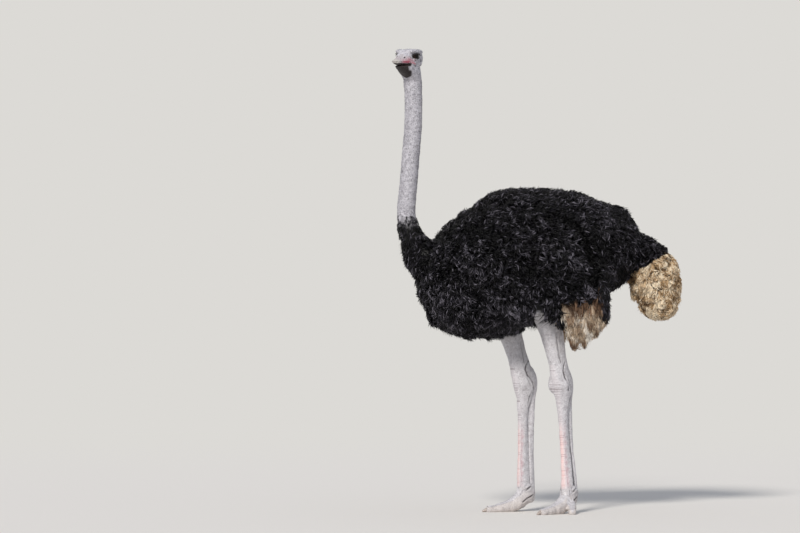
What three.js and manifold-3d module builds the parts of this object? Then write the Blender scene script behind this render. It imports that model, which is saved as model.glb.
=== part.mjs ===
// A standing adult male ostrich as a still, life-size museum model.
// Millimetres, +Z up. The bird faces -X, and its left side is towards -Y.
// The solids reach to the tips of the plumage. Every length of the body is a node of its own.
import * as THREE from 'three';
import { mergeVertices } from 'three/addons/utils/BufferGeometryUtils.js';
import Module from 'manifold-3d';

const wasm = await Module();
wasm.setup();

// ---- Driving dimensions ----
const GAP = 0.3; // between neighbouring solids
const BACK_Z = 1526; // top of the back plumage
const BREAST_Z = 838; // lowest plumes of the breast
const BREAST_X = -560; // front of the breast
const RUMP_X = 487; // rear end of the rump, under the tail
const HEAD_AT = [-588, 0, 2130]; // where the neck's axis meets the head
const HEAD_TURN = 228; // degrees about +Z from +X to the bill, so 48 to the bird's left
const NECK_R = 41; // neck radius under the head
const THROAT_DROP = 88; // from the head's middle down to the neck's top
const EYE_R = 25;
const HOCK_Z = 633;
const FOOT_JOINT_Z = 92; // knuckle between the shank and the toes

// One row for each leg: where its joints stand, how far its toes turn out, and where the hock's inner knob stands,
// ahead of and outward from its axis.
const LEGS = [
  {
    side: 'left', out: -1, turn: 33, knob: [29, -27],
    knee: [12, -125, 1000], hock: [104, -106], foot: [141, -104],
  },
  {
    side: 'right', out: 1, turn: -8, knob: [20, -16],
    knee: [-150, 118, 1000], hock: [-27, 101], foot: [-21, 103],
  },
];

const COLOURS = {
  plumage: 0x17161a,
  tail_plumes: 0xb9935f,
  wing_plumes: 0xb8a48a,
  skin: 0xb3aeb0,
  leg: 0xc4c2c4,
  horn: 0xb89a90,
  claw: 0x8d8078,
  eye: 0x1c130d,
};

// ---- Small helpers ----
const radians = THREE.MathUtils.degToRad;
const vec = (p) => new THREE.Vector3(...p);

/** Smooth curve through rows of [t, a, b, ...]: a function of t that gives [a, b, ...]. */
function track(rows) {
  const slope = (i, k) => {
    const before = rows[Math.max(i - 1, 0)];
    const after = rows[Math.min(i + 1, rows.length - 1)];
    return (after[k] - before[k]) / (after[0] - before[0]);
  };
  return (t) => {
    const i = THREE.MathUtils.clamp(rows.findIndex((row) => row[0] > t) - 1, 0, rows.length - 2);
    const last = t >= rows[rows.length - 1][0];
    const j = last ? rows.length - 2 : i;
    const [p, q] = [rows[j], rows[j + 1]];
    const span = q[0] - p[0];
    const u = THREE.MathUtils.clamp((t - p[0]) / span, 0, 1);
    return p.slice(1).map((from, c) => {
      const k = c + 1;
      const [u2, u3] = [u * u, u * u * u];
      return from * (2 * u3 - 3 * u2 + 1) + q[k] * (3 * u2 - 2 * u3)
        + span * ((u3 - 2 * u2 + u) * slope(j, k) + (u3 - u2) * slope(j + 1, k));
    });
  };
}

/** Places of the rings from start to end: closer together in the rounded ends. */
function ringPlaces(start, end, caps, rings) {
  const capRings = 3;
  const places = [];
  if (caps[0]) {
    for (let i = 1; i < capRings; i++) {
      places.push(start + caps[0] * (1 - Math.cos((Math.PI / 2) * (i / capRings))));
    }
  }
  const [from, to] = [start + caps[0], end - caps[1]];
  for (let i = 0; i <= rings; i++) places.push(from + (to - from) * (i / rings));
  if (caps[1]) {
    for (let i = capRings - 1; i > 0; i--) {
      places.push(end - caps[1] * (1 - Math.cos((Math.PI / 2) * (i / capRings))));
    }
  }
  return places;
}

/**
 * A closed body drawn through rings. Rows are [t, x, y, z, a, b]: the ring's centre, its half size a along
 * `across` and b at right angles to that. Caps are the lengths in t of the two rounded ends.
 */
function loft({
  rows, across, plane, caps = [0, 0], rings = 16, sides = 16, square = 2, ruffle = 0, grow = 0,
}) {
  const at = track(rows);
  const [start, end] = [rows[0][0], rows[rows.length - 1][0]];
  const fine = (end - start) * 1e-3;
  const centre = (t) => vec(at(THREE.MathUtils.clamp(t, start, end)).slice(0, 3));
  const positions = [];
  const places = ringPlaces(start, end, caps, rings);
  for (const t of places) {
    const [x, y, z, a, b] = at(t);
    const ahead = plane ? vec(plane) : centre(t + fine).sub(centre(t - fine)).normalize();
    const wide = vec(across).addScaledVector(ahead, -vec(across).dot(ahead)).normalize();
    const tall = new THREE.Vector3().crossVectors(ahead, wide);
    const [near, far] = [(t - start) / caps[0], (end - t) / caps[1]];
    const round = (s) => (s < 1 ? Math.sqrt(Math.max(0, 1 - (1 - s) ** 2)) : 1);
    const full = (caps[0] ? round(near) : 1) * (caps[1] ? round(far) : 1);
    for (let i = 0; i < sides; i++) {
      const angle = (2 * Math.PI * i) / sides;
      const [c, s] = [Math.cos(angle), Math.sin(angle)];
      const bow = (v) => Math.sign(v) * Math.abs(v) ** (2 / square);
      const wave = ruffle * full * Math.sin(5 * angle + 0.045 * t) * Math.sin(0.06 * t + 3 * angle);
      const point = new THREE.Vector3(x, y, z)
        .addScaledVector(wide, bow(c) * (a * full + grow) + wave * c)
        .addScaledVector(tall, bow(s) * (b * full + grow) + wave * s);
      positions.push(...point.toArray());
    }
  }
  const faces = [];
  for (let r = 0; r + 1 < places.length; r++) {
    for (let i = 0; i < sides; i++) {
      const j = (i + 1) % sides;
      const [p, q] = [r * sides, (r + 1) * sides];
      faces.push(p + i, p + j, q + i, p + j, q + j, q + i);
    }
  }
  const poles = [centre(start), centre(end)];
  const grown = places.length > 1 && caps.some(Boolean) ? grow : 0;
  const along = centre(end).sub(centre(end - fine)).normalize();
  const back = centre(start + fine).sub(centre(start)).normalize();
  poles[0].addScaledVector(back, caps[0] ? -grown : 0);
  poles[1].addScaledVector(along, caps[1] ? grown : 0);
  const first = positions.length / 3;
  positions.push(...poles[0].toArray(), ...poles[1].toArray());
  const lastRing = (places.length - 1) * sides;
  for (let i = 0; i < sides; i++) {
    const j = (i + 1) % sides;
    faces.push(first, j, i, first + 1, lastRing + i, lastRing + j);
  }
  return solid(positions, faces);
}

/** A manifold solid from points and triangles, turned right side out. */
function solid(positions, faces) {
  const made = new wasm.Manifold(new wasm.Mesh({
    numProp: 3,
    vertProperties: new Float32Array(positions),
    triVerts: new Uint32Array(faces),
  }));
  if (made.volume() > 0) return made;
  const turned = [];
  for (let i = 0; i < faces.length; i += 3) turned.push(faces[i], faces[i + 2], faces[i + 1]);
  return solid(positions, turned);
}

/** A manifold solid from a three.js geometry. */
function fromGeometry(geometry) {
  geometry.deleteAttribute('normal');
  geometry.deleteAttribute('uv');
  const merged = mergeVertices(geometry, 1e-3);
  return solid([...merged.attributes.position.array], [...merged.index.array]);
}

/** An egg-shaped solid with its own half sizes, grown on all sides. */
function egg([x, y, z], [rx, ry, rz], grow = 0, detail = [12, 8], turn = 0) {
  const geometry = new THREE.SphereGeometry(1, ...detail);
  geometry.rotateX(Math.PI / 2);
  geometry.scale(rx + grow, ry + grow, rz + grow);
  geometry.rotateZ(radians(turn));
  geometry.translate(x, y, z);
  return fromGeometry(geometry);
}

/** The parts of a solid on each side of a plane, GAP apart. The normal points to the first part. */
function part(whole, normal, through) {
  const unit = vec(normal).normalize();
  const offset = unit.dot(vec(through));
  const far = unit.clone().negate();
  return [
    biggest(whole.trimByPlane(unit.toArray(), offset + GAP / 2)),
    biggest(whole.trimByPlane(far.toArray(), -offset + GAP / 2)),
  ];
}

/** The one large body of a solid, without crumbs that a cut leaves. */
function biggest(whole) {
  const bodies = whole.decompose();
  return bodies.reduce((best, body) => (body.volume() > best.volume() ? body : best));
}

const joined = (...solids) => solids.reduce((sum, one) => sum.add(one));
const without = (whole, ...tools) => biggest(tools.reduce((left, tool) => left.subtract(tool), whole));

const model = new THREE.Group();
const headGroup = new THREE.Group();
headGroup.position.set(...HEAD_AT);
headGroup.rotation.z = radians(HEAD_TURN);
model.add(headGroup);

/** Adds a solid to a group as a named mesh. */
function addNode(name, body, colour, group = model, roughness = 0.8) {
  const { vertProperties, triVerts } = body.getMesh();
  const geometry = new THREE.BufferGeometry();
  geometry.setAttribute('position', new THREE.BufferAttribute(new Float32Array(vertProperties), 3));
  geometry.setIndex([...triVerts]);
  geometry.computeVertexNormals();
  const material = new THREE.MeshStandardMaterial({ color: colour, roughness, metalness: 0 });
  const mesh = new THREE.Mesh(geometry, material);
  mesh.name = name;
  group.add(mesh);
}

// ---- Trunk ----
// Rows are [x, top, bottom, half width]; the outline holds the plumage of breast, back and rump.
const TRUNK = [
  [BREAST_X, 1185, 985, 118],
  [-500, 1262, 922, 158],
  [-420, 1352, 868, 196],
  [-330, 1424, 845, 222],
  [-224, 1490, BREAST_Z, 238],
  [-110, 1520, 862, 247],
  [20, BACK_Z, 925, 247],
  [175, 1509, 985, 234],
  [297, 1478, 1022, 206],
  [390, 1444, 1062, 166],
  [450, 1410, 1112, 122],
  [RUMP_X, 1383, 1178, 96],
];

function trunk(grow = 0) {
  const rows = TRUNK.map(([x, top, bottom, half]) => [
    x, x, 0, (top + bottom) / 2, half, (top - bottom) / 2,
  ]);
  return loft({
    rows, across: [0, 1, 0], plane: [1, 0, 0], caps: [70, 46], rings: 12, sides: 20, square: 2.15,
    ruffle: 5, grow,
  });
}

// ---- Neck ----
// Rows are [z order, x, z, radius]: out of the breast, forward, and up to the head.
const NECK = [
  [0, -400, 1120, 118],
  [1, -492, 1172, 104],
  [2, -562, 1232, 78],
  [3, -604, 1318, 58],
  [4, -621, 1416, 46],
  [5, -609, 1552, 42],
  [6, -597, 1702, 41.5],
  [7, -587, 1830, 41.5],
  [8, -584, 1960, 40.5],
  [9, HEAD_AT[0], HEAD_AT[2] - THROAT_DROP, NECK_R],
  [9.4, HEAD_AT[0] - 2, HEAD_AT[2] - THROAT_DROP + 30, NECK_R],
];

function neck(grow = 0) {
  const rows = NECK.map(([t, x, z, r]) => [t, x, 0, z, r, r]);
  return loft({ rows, across: [0, 1, 0], rings: 16, sides: 14, grow });
}

// ---- Head, in its own frame: +X to the bill, +Y to the bird's left, origin on the neck's axis ----
const BILL_TIP = 172;
const BILL_BASE = 92; // where horn takes over from skin
const MOUTH_Z = -12;
const EYE_AT = [46, 30, 13];
const EAR_AT = [6, 42, -6];

function skull(grow = 0) {
  // Rows are [x, top, bottom, half width] from the nape to the bill's tip.
  const outline = [
    [-46, 30, -20, 30],
    [-14, 47, -36, 42],
    [25, 52, -38, 47],
    [50, 52, -36, 46],
    [76, 46, -34, 42],
    [92, 36, -33, 40],
    [104, 26, -32, 36],
    [118, 14, -31, 33],
    [138, 5, -27, 28],
    [157, 0, -23, 23],
    [BILL_TIP, -4, -19, 17],
  ];
  const rows = outline.map(([x, top, bottom, half]) => [
    x, x, 0, (top + bottom) / 2, half, (top - bottom) / 2,
  ]);
  return loft({
    rows, across: [0, 1, 0], plane: [1, 0, 0], caps: [26, 13], rings: 8, sides: 16, square: 2.6, grow,
  });
}

function throat() {
  // Rows are [z, x, half length, half width] from the neck up into the skull.
  const outline = [
    [-THROAT_DROP, 5, NECK_R + 4, NECK_R],
    [-72, 18, 58, 44],
    [-52, 36, 78, 45],
    [-34, 50, 94, 43],
    [-14, 46, 88, 40],
  ];
  const rows = outline.map(([z, x, length, half]) => [z, x, 0, z, half, length]);
  return loft({
    rows, across: [0, 1, 0], plane: [0, 0, 1], caps: [0, 8], rings: 4, sides: 12,
  });
}

function buildHead() {
  const brows = [1, -1].map((s) => egg([54, s * 38, 38], [38, 16, 12], 0, [8, 5]));
  const billFace = [1, 0, 0.12];
  const [bill, cap] = part(skull(), billFace, [BILL_BASE, 0, 0]);
  const billTool = part(skull(GAP), billFace, [BILL_BASE - GAP, 0, 0])[0];
  const face = biggest(without(joined(cap, throat(), ...brows), billTool));
  const eyes = [1, -1].map((s) => [EYE_AT[0], s * EYE_AT[1], EYE_AT[2]]);
  const sockets = eyes.map((at) => egg(at, [EYE_R, EYE_R, EYE_R], GAP, [10, 7]));
  const ears = [1, -1].map((s) => [EAR_AT[0], s * EAR_AT[1], EAR_AT[2]]);
  const earPits = ears.map((at) => egg(at, [11, 8, 10], GAP, [8, 6]));
  const nostrils = [1, -1].map((s) => egg([116, s * 21, 9], [9, 6, 4], 0, [6, 3]));
  const [upper, lower] = part(bill, [0, 0, 1], [0, 0, MOUTH_Z]);
  const gape = fromGeometry(new THREE.BoxGeometry(40, 120, 1.6).translate(BILL_BASE - 14, 0, MOUTH_Z));
  const lips = gape.subtract(egg([BILL_BASE - 20, 0, MOUTH_Z], [60, 30, 20], 0, [10, 6]));
  addNode('head', without(face, ...sockets, ...earPits, lips), COLOURS.skin, headGroup);
  addNode('bill_upper', without(upper, ...nostrils), COLOURS.horn, headGroup, 0.5);
  addNode('bill_lower', lower, COLOURS.horn, headGroup, 0.5);
  for (const [i, side] of ['left', 'right'].entries()) {
    addNode(`eye_${side}`, egg(eyes[i], [EYE_R, EYE_R, EYE_R], 0, [10, 7]), COLOURS.eye, headGroup, 0.1);
    const hole = egg([ears[i][0], ears[i][1] * 1.3, ears[i][2]], [6, 8, 5.5], 0, [6, 4]);
    addNode(`ear_${side}`, without(egg(ears[i], [11, 8, 10], 0, [8, 6]), hole), COLOURS.skin, headGroup);
  }
}

// ---- Wings ----
// Rows are [t, x, |y|, z, half thickness, half height] from the shoulder back and down to the tip.
const WING = [
  [0, -404, 166, 1236, 36, 88],
  [1, -300, 201, 1208, 46, 154],
  [2, -170, 217, 1168, 52, 212],
  [3, -40, 221, 1130, 54, 234],
  [4, 90, 217, 1090, 52, 222],
  [5, 200, 204, 1046, 48, 174],
  [6, 292, 187, 1000, 38, 100],
];
const WING_LEAN = 0.19; // how far a wing's top leans in over the back, for each unit of height

// The wing's lower rear corner is cut off along this slope, where its pale flight plumes hang out.
const WING_EDGE = { through: [73, 0, 868], normal: [-0.66, 0, 0.75] };

function wing(out, grow = 0) {
  const rows = WING.map(([t, x, y, z, thick, high]) => [t, x, out * y, z, thick, high]);
  const whole = loft({
    rows, across: [0, 1, out * WING_LEAN], caps: [0.9, 0.8], rings: 6, sides: 14, ruffle: 5, grow,
  });
  const edge = WING_EDGE.through.map((v, k) => v - grow * WING_EDGE.normal[k]);
  return part(whole, WING_EDGE.normal, edge)[0];
}

/** The pale flight plumes under a wing's rear edge: a fan of drooping vanes, shorter to the rear. */
function wingPlumes(out) {
  const vanes = 4;
  const fan = [];
  for (let i = 0; i < vanes; i++) {
    const f = i / (vanes - 1);
    const x = 118 + 140 * f;
    const [top, tip] = [1010 + 90 * f, 776 + 108 * f * f];
    const rows = [
      [0, x, out * (222 - 12 * f), top, 26, 40],
      [1, x + 10, out * (238 - 14 * f), (top + tip) / 2, 28, 42],
      [2, x + 16 + 10 * f, out * (232 - 14 * f), tip, 14, 22],
    ];
    fan.push(loft({ rows, across: [0, 1, 0], caps: [0, 0.45], rings: 2, sides: 6 }));
  }
  return joined(...fan);
}

// ---- Tail: drooping, black coverts over pale plumes ----
// Rows are [t, x, z, half width, half depth] from the rump back and down.
const TAIL = [
  [0, 430, 1262, 76, 62],
  [1, 500, 1236, 88, 74],
  [2, 550, 1182, 98, 104],
  [3, 578, 1104, 104, 124],
  [4, 596, 1020, 98, 112],
  [5, 614, 950, 80, 74],
  [6, 622, 912, 60, 46],
];
const TAIL_EDGE = { through: [552, 0, 1185], normal: [-0.52, 0, 0.86] };

function tail() {
  const rows = TAIL.map(([t, x, z, wide, deep]) => [t, x, 0, z, wide, deep]);
  return loft({
    rows, across: [0, 1, 0], caps: [0, 0.9], rings: 8, sides: 14, ruffle: 7,
  });
}

// ---- Legs ----
/** Rows for thigh, shin and hock of a leg. The local rows are [s, half width, half depth, lean forward]. */
function legRows({ out, knee, hock, foot }) {
  const shin = (s) => [0, 1].map((k) => THREE.MathUtils.lerp(knee[k], hock[k], s));
  const shank = (s) => [0, 1].map((k) => THREE.MathUtils.lerp(hock[k] + (k ? 0 : 8), foot[k], s));
  const kneeToHock = (s) => knee[2] + (HOCK_Z - knee[2]) * s;
  const hockToFoot = (s) => HOCK_Z + (FOOT_JOINT_Z - HOCK_Z) * s;
  const upper = [
    [-0.5, 78, 112, 0], [-0.2, 84, 118, 0], [0.08, 78, 93, 0], [0.3, 62, 67, 0], [0.5, 49, 57, 0],
    [0.7, 41, 49, 0], [0.86, 40, 52, 0], [1.0, 42, 60, 3],
  ];
  const lower = [[0.07, 41, 57, 6], [0.15, 35, 42, 2], [0.26, 24, 32, 0]];
  const rows = upper.map(([s, wide, deep, lean]) => {
    const [x, y] = shin(s);
    return [s, x - lean, y, kneeToHock(s), wide, deep];
  });
  rows[0][2] -= out * 22;
  for (const [s, wide, deep, lean] of lower) {
    const [x, y] = shank(s);
    rows.push([1 + s, x - lean, y, hockToFoot(s), wide, deep]);
  }
  return rows;
}

/** Unit vectors of a foot: along the large toe, and to the outer side. */
function toeAxes({ out, turn }) {
  const angle = radians(180 - out * turn);
  const ahead = [Math.cos(angle), Math.sin(angle), 0];
  const outer = [out * Math.sin(angle), out * -Math.cos(angle), 0];
  return { ahead, outer };
}

function buildLeg(leg, trunkTool, wingTool) {
  const { side, out, hock, foot } = leg;
  const { ahead, outer } = toeAxes(leg);
  const place = (d, w, z, from = foot) => [
    from[0] + ahead[0] * d + outer[0] * w, from[1] + ahead[1] * d + outer[1] * w, z,
  ];

  // Thigh, shin and hock in one, with the shank's bone and its tendon behind.
  const limb = loft({
    rows: legRows(leg), across: outer, caps: [0.3, 0.05], rings: 12, sides: 12, square: 2.1,
  });
  const top = [hock[0] + 10, hock[1]];
  const spindle = (shift, radii, sides = 8) => loft({
    rows: radii.map(([s, wide, deep, lean]) => {
      const [x, y] = [0, 1].map((k) => THREE.MathUtils.lerp(top[k], foot[k], s));
      const z = THREE.MathUtils.lerp(HOCK_Z - 30, FOOT_JOINT_Z, s);
      return [s, ...place(shift + lean, 0, z, [x, y]), wide, deep];
    }),
    across: outer,
    caps: [0.04, 0.04],
    rings: 4,
    sides,
  });
  const bone = spindle(15, [
    [0, 34, 34, 2], [0.14, 30, 30, 2], [0.3, 23, 24, 0], [0.6, 21, 22, 0], [0.84, 25, 24, 0], [1, 34, 30, -4],
  ]);
  const tendon = spindle(-22, [
    [0, 18, 22, -8], [0.14, 17, 18, -6], [0.4, 14, 15, 0], [0.8, 16, 16, 0], [1, 24, 26, 4],
  ]);
  const web = spindle(-4, [[0, 14, 24, 0], [0.5, 11, 20, 0], [1, 20, 26, 0]], 6);

  // Foot: a raised knuckle, the long inner toe and the short outer toe, flat where they stand.
  const knuckle = egg(place(-2, 0, FOOT_JOINT_Z - 4), [46, 36, 45], 0, [8, 6], 180 - out * leg.turn);
  const toeRows = (outline, turn, w0) => outline.map(([d, topZ, bottomZ, half]) => {
    const [c, s] = [Math.cos(radians(turn)), Math.sin(radians(turn))];
    const at = place(d * c, w0 + d * s, (topZ + bottomZ) / 2);
    return [d, ...at, half, (topZ - bottomZ) / 2];
  });
  const toe = ({ outline, turn = 0, w0 = 0, caps, rings, sides = 10 }, grow = 0) => {
    const [c, s] = [Math.cos(radians(turn)), Math.sin(radians(turn))];
    const along = [0, 1, 2].map((k) => ahead[k] * c + outer[k] * s);
    const wide = [0, 1, 2].map((k) => outer[k] * c - ahead[k] * s);
    return loft({
      rows: toeRows(outline, turn, w0), across: wide, plane: along, caps, rings, sides, square: 2.3, grow,
    });
  };
  const onGround = (body) => body.trimByPlane([0, 0, 1], 0);
  // Rows are [along the toe, top, bottom, half width].
  const large = {
    outline: [
      [-34, 112, 56, 30], [0, 117, 29, 36], [42, 90, 3, 36], [88, 52, -5, 32], [142, 35, -7, 28],
      [190, 25, -8, 22],
    ],
    caps: [14, 14],
    rings: 6,
  };
  const small = {
    outline: [[-14, 84, 40, 19], [22, 66, 12, 22], [58, 42, -3, 20], [96, 30, -5, 17], [118, 24, -6, 14]],
    turn: 46,
    w0: 14,
    caps: [8, 10],
    rings: 4,
    sides: 8,
  };
  const nail = {
    outline: [[168, 23, 4, 10], [190, 21, 3, 10], [206, 14, 1, 8], [220, 6, -2, 4]],
    caps: [4, 6],
    rings: 2,
    sides: 8,
  };

  const knob = egg(place(...leg.knob, HOCK_Z - 21, top), [34, 28, 50], 0, [10, 6], 180 - out * leg.turn);
  const whole = joined(limb, bone, tendon, web, knuckle, knob);
  const hidden = without(whole, trunkTool, wingTool);
  const shinDown = [leg.knee[0] - hock[0], leg.knee[1] - hock[1], leg.knee[2] - HOCK_Z];
  const onShin = (s) => [0, 1, 2].map((k) => THREE.MathUtils.lerp(leg.knee[k], [...hock, HOCK_Z][k], s));
  const [thigh, belowThigh] = part(hidden, shinDown, onShin(0.24));
  const [shin, belowShin] = part(belowThigh, shinDown, onShin(0.8));
  const [hockBody, belowHock] = part(belowShin, [0, 0, 1], [0, 0, HOCK_Z - 78]);
  const [shank, knuckleBody] = part(belowHock, [0, 0, 1], [0, 0, FOOT_JOINT_Z + 48]);

  const feet = onGround(joined(knuckleBody, toe(large)));
  const [toeLarge, footBody] = part(feet, ahead, place(40, 0, 40));
  const [smallTool, nailTool] = [small, nail].map((shape) => onGround(toe(shape, GAP)));
  addNode(`thigh_${side}`, thigh, COLOURS.skin);
  addNode(`shin_${side}`, shin, COLOURS.leg);
  addNode(`hock_${side}`, hockBody, COLOURS.leg);
  addNode(`shank_${side}`, shank, COLOURS.leg);
  addNode(`foot_${side}`, without(footBody, smallTool), COLOURS.leg);
  addNode(`toe_large_${side}`, without(toeLarge, nailTool, smallTool), COLOURS.leg);
  addNode(`toe_small_${side}`, onGround(toe(small)), COLOURS.leg);
  addNode(`claw_${side}`, onGround(toe(nail)), COLOURS.claw, model, 0.45);
  return hidden;
}

// ---- Assembly: each solid is cut back from the neighbours that lie on it ----
buildHead();

const wings = LEGS.map(({ side, out }) => ({ side, out, body: wing(out), tool: wing(out, GAP) }));
const trunkTool = trunk(GAP);
const trunkBody = without(trunk(), ...wings.map(({ tool }) => tool));
addNode('trunk', trunkBody, COLOURS.plumage);

const neckTop = HEAD_AT[2] - THROAT_DROP - GAP;
const neckWhole = neck().trimByPlane([0, 0, -1], -neckTop);
const neckFree = without(neckWhole, trunkTool, ...wings.map(({ tool }) => tool));
const [neckUpper, neckBelow] = part(neckFree, [0.05, 0, 1], [-596, 0, 1712]);
const [neckMiddle, neckBase] = part(neckBelow, [-0.05, 0, 1], [-621, 0, 1418]);
addNode('neck_upper', neckUpper, COLOURS.skin);
addNode('neck_middle', neckMiddle, COLOURS.skin);
addNode('neck_base', neckBase, COLOURS.plumage);

for (const { side, body } of wings) addNode(`wing_${side}`, body, COLOURS.plumage);
const legBodies = LEGS.map((leg, i) => buildLeg(leg, trunkTool, wings[i].tool));
for (const [i, { side, tool, out }] of wings.entries()) {
  const plumes = without(wingPlumes(out), tool, trunkTool, legBodies[i]);
  addNode(`wing_plumes_${side}`, plumes, COLOURS.wing_plumes);
}

const tailFree = without(tail(), trunkTool);
const [coverts, plumes] = part(tailFree, TAIL_EDGE.normal, TAIL_EDGE.through);
addNode('tail_coverts', coverts, COLOURS.plumage);
addNode('tail_plumes', plumes, COLOURS.tail_plumes);

// The origin is the middle of the model's box, on the floor.
const box = new THREE.Box3().setFromObject(model, true);
const middle = box.getCenter(new THREE.Vector3());
model.position.set(-middle.x, -middle.y, -box.min.z);
const ostrich = new THREE.Group();
ostrich.add(model);
export default ostrich;
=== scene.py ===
import math
from functools import partial

import bmesh
import bpy
import numpy as np
from mathutils import Matrix, Vector
from mathutils.bvhtree import BVHTree
from mathutils.kdtree import KDTree


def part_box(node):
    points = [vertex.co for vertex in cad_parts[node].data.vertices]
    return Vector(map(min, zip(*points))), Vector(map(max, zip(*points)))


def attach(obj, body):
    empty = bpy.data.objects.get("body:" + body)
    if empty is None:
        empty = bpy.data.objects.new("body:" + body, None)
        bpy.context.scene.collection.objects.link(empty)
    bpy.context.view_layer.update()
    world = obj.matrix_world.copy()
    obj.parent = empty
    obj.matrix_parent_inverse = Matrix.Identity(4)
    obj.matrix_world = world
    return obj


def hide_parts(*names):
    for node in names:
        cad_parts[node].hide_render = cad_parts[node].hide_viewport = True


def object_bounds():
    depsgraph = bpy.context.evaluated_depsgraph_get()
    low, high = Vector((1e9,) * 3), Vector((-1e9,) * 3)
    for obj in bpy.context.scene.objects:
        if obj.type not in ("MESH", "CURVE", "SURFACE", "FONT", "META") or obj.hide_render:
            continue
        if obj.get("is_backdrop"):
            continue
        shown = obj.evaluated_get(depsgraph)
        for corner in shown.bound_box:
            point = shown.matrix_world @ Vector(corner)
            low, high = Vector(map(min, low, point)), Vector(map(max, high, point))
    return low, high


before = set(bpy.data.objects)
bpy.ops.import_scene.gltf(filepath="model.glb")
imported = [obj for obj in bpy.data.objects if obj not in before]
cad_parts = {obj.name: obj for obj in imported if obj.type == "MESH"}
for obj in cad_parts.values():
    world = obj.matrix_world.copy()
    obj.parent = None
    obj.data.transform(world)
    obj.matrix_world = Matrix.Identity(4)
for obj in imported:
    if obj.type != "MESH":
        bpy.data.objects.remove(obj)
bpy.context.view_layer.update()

MM = 0.001
rng = np.random.default_rng(11)

# ---- Where the frame has the bird ----
HEAD_AT = np.array([-588.0, 0.0, 2130.0])  # on the neck's axis, level with the ears
EYE_FROM_HEAD = np.array([46.0, 30.0, 13.0])  # ahead, to the side, up
HOCK_Z = 633.0
FOOT_Z = 92.0
# Each leg: its knee, hock and foot joint, the degrees that its toes turn out, and how far the hock's inner
# knob stands ahead of its axis and to its outer side.
LEGS = {
    "left": {
        "out": -1, "turn": 33, "knob": (29, -27),
        "knee": (12, -125, 1000), "hock": (104, -106), "foot": (141, -104),
    },
    "right": {
        "out": 1, "turn": -8, "knob": (20, -16),
        "knee": (-150, 118, 1000), "hock": (-27, 101), "foot": (-21, 103),
    },
}


def middle(name):
    low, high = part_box(name)
    return (low + high) / 2


LEFTWARD = np.array((middle("eye_left") - middle("eye_right")).normalized())
UPWARD = np.array([0.0, 0.0, 1.0])
AHEAD = np.cross(LEFTWARD, UPWARD)
HEAD_AXES = np.stack([AHEAD, LEFTWARD, UPWARD])
between_eyes = np.array((middle("eye_left") + middle("eye_right")) / 2) / MM
ORIGIN = between_eyes - AHEAD * EYE_FROM_HEAD[0] - UPWARD * EYE_FROM_HEAD[2] - HEAD_AT
EYE_R = (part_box("eye_left")[1].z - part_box("eye_left")[0].z) / 2 / MM


def to_head(points):
    """Millimetres of the drawing to the head's own axes: ahead, to its left, up."""
    return (points - HEAD_AT) @ HEAD_AXES.T


def from_head(points):
    return np.asarray(points, float) @ HEAD_AXES + HEAD_AT


# On the head, s is 1 for its left and -1 for its right.
def eye_at(s):
    return np.array([EYE_FROM_HEAD[0], s * EYE_FROM_HEAD[1], EYE_FROM_HEAD[2]])


def ear_at(s, aside=42):
    """The opening of an ear, so far from the middle of the head."""
    return np.array([6, s * aside, -6])


def gaze(s):
    """The way an eye looks, in the head's axes."""
    way = np.array([0.33, s * 0.93, 0.08])
    return way / np.linalg.norm(way)


def round_eye(local, s):
    """The way from an eye to each place, how far that is along its gaze, and how far ahead and above."""
    way = local - eye_at(s)
    before = way @ gaze(s)
    return way, before, way[:, 0] - before * gaze(s)[0], way[:, 2] - before * gaze(s)[2]


# ---- Numbers and curves ----
def smooth_step(low, high, x):
    t = np.clip((x - low) / (high - low), 0, 1)
    return t * t * (3 - 2 * t)


def bell(x):
    return np.exp(-(x**2))


def unit(v):
    return v / np.linalg.norm(v, axis=-1, keepdims=True).clip(1e-9)


def noise(points, size, seed):
    """A smooth wave of about -1 to 1 over space, with bumps of about this size."""
    waves = np.random.default_rng(seed)
    total = np.zeros(len(points))
    for _ in range(7):
        way = waves.normal(size=3)
        way *= waves.uniform(2.2, 4.6) / size / np.linalg.norm(way)
        total += np.sin(points @ way + waves.uniform(0, 6.28))
    return total / 2.6


def track(rows):
    """A smooth curve through rows of [t, a, b, ...], as a function of an array of t."""
    rows = np.array(rows, float)
    t, values = rows[:, 0], rows[:, 1:]
    after, before = np.minimum(np.arange(len(t)) + 1, len(t) - 1), np.maximum(np.arange(len(t)) - 1, 0)
    slope = (values[after] - values[before]) / (t[after] - t[before])[:, None]

    def at(x):
        x = np.atleast_1d(np.asarray(x, float))
        i = np.clip(np.searchsorted(t, x, side="right") - 1, 0, len(t) - 2)
        span = (t[i + 1] - t[i])[:, None]
        u = np.clip((x[:, None] - t[i][:, None]) / span, 0, 1)
        return (
            values[i] * (2 * u**3 - 3 * u**2 + 1)
            + values[i + 1] * (3 * u**2 - 2 * u**3)
            + span * ((u**3 - 2 * u**2 + u) * slope[i] + (u**3 - u**2) * slope[i + 1])
        )

    return at


def near_line(points, line):
    """Each point's distance from a chain of straight stretches."""
    line = np.asarray(line, float)
    best = np.full(len(points), 1e9)
    for p, q in zip(line[:-1], line[1:]):
        along = np.clip(((points - p) @ (q - p)) / ((q - p) @ (q - p)), 0, 1)
        best = np.minimum(best, np.linalg.norm(points - p - along[:, None] * (q - p), axis=1))
    return best


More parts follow.
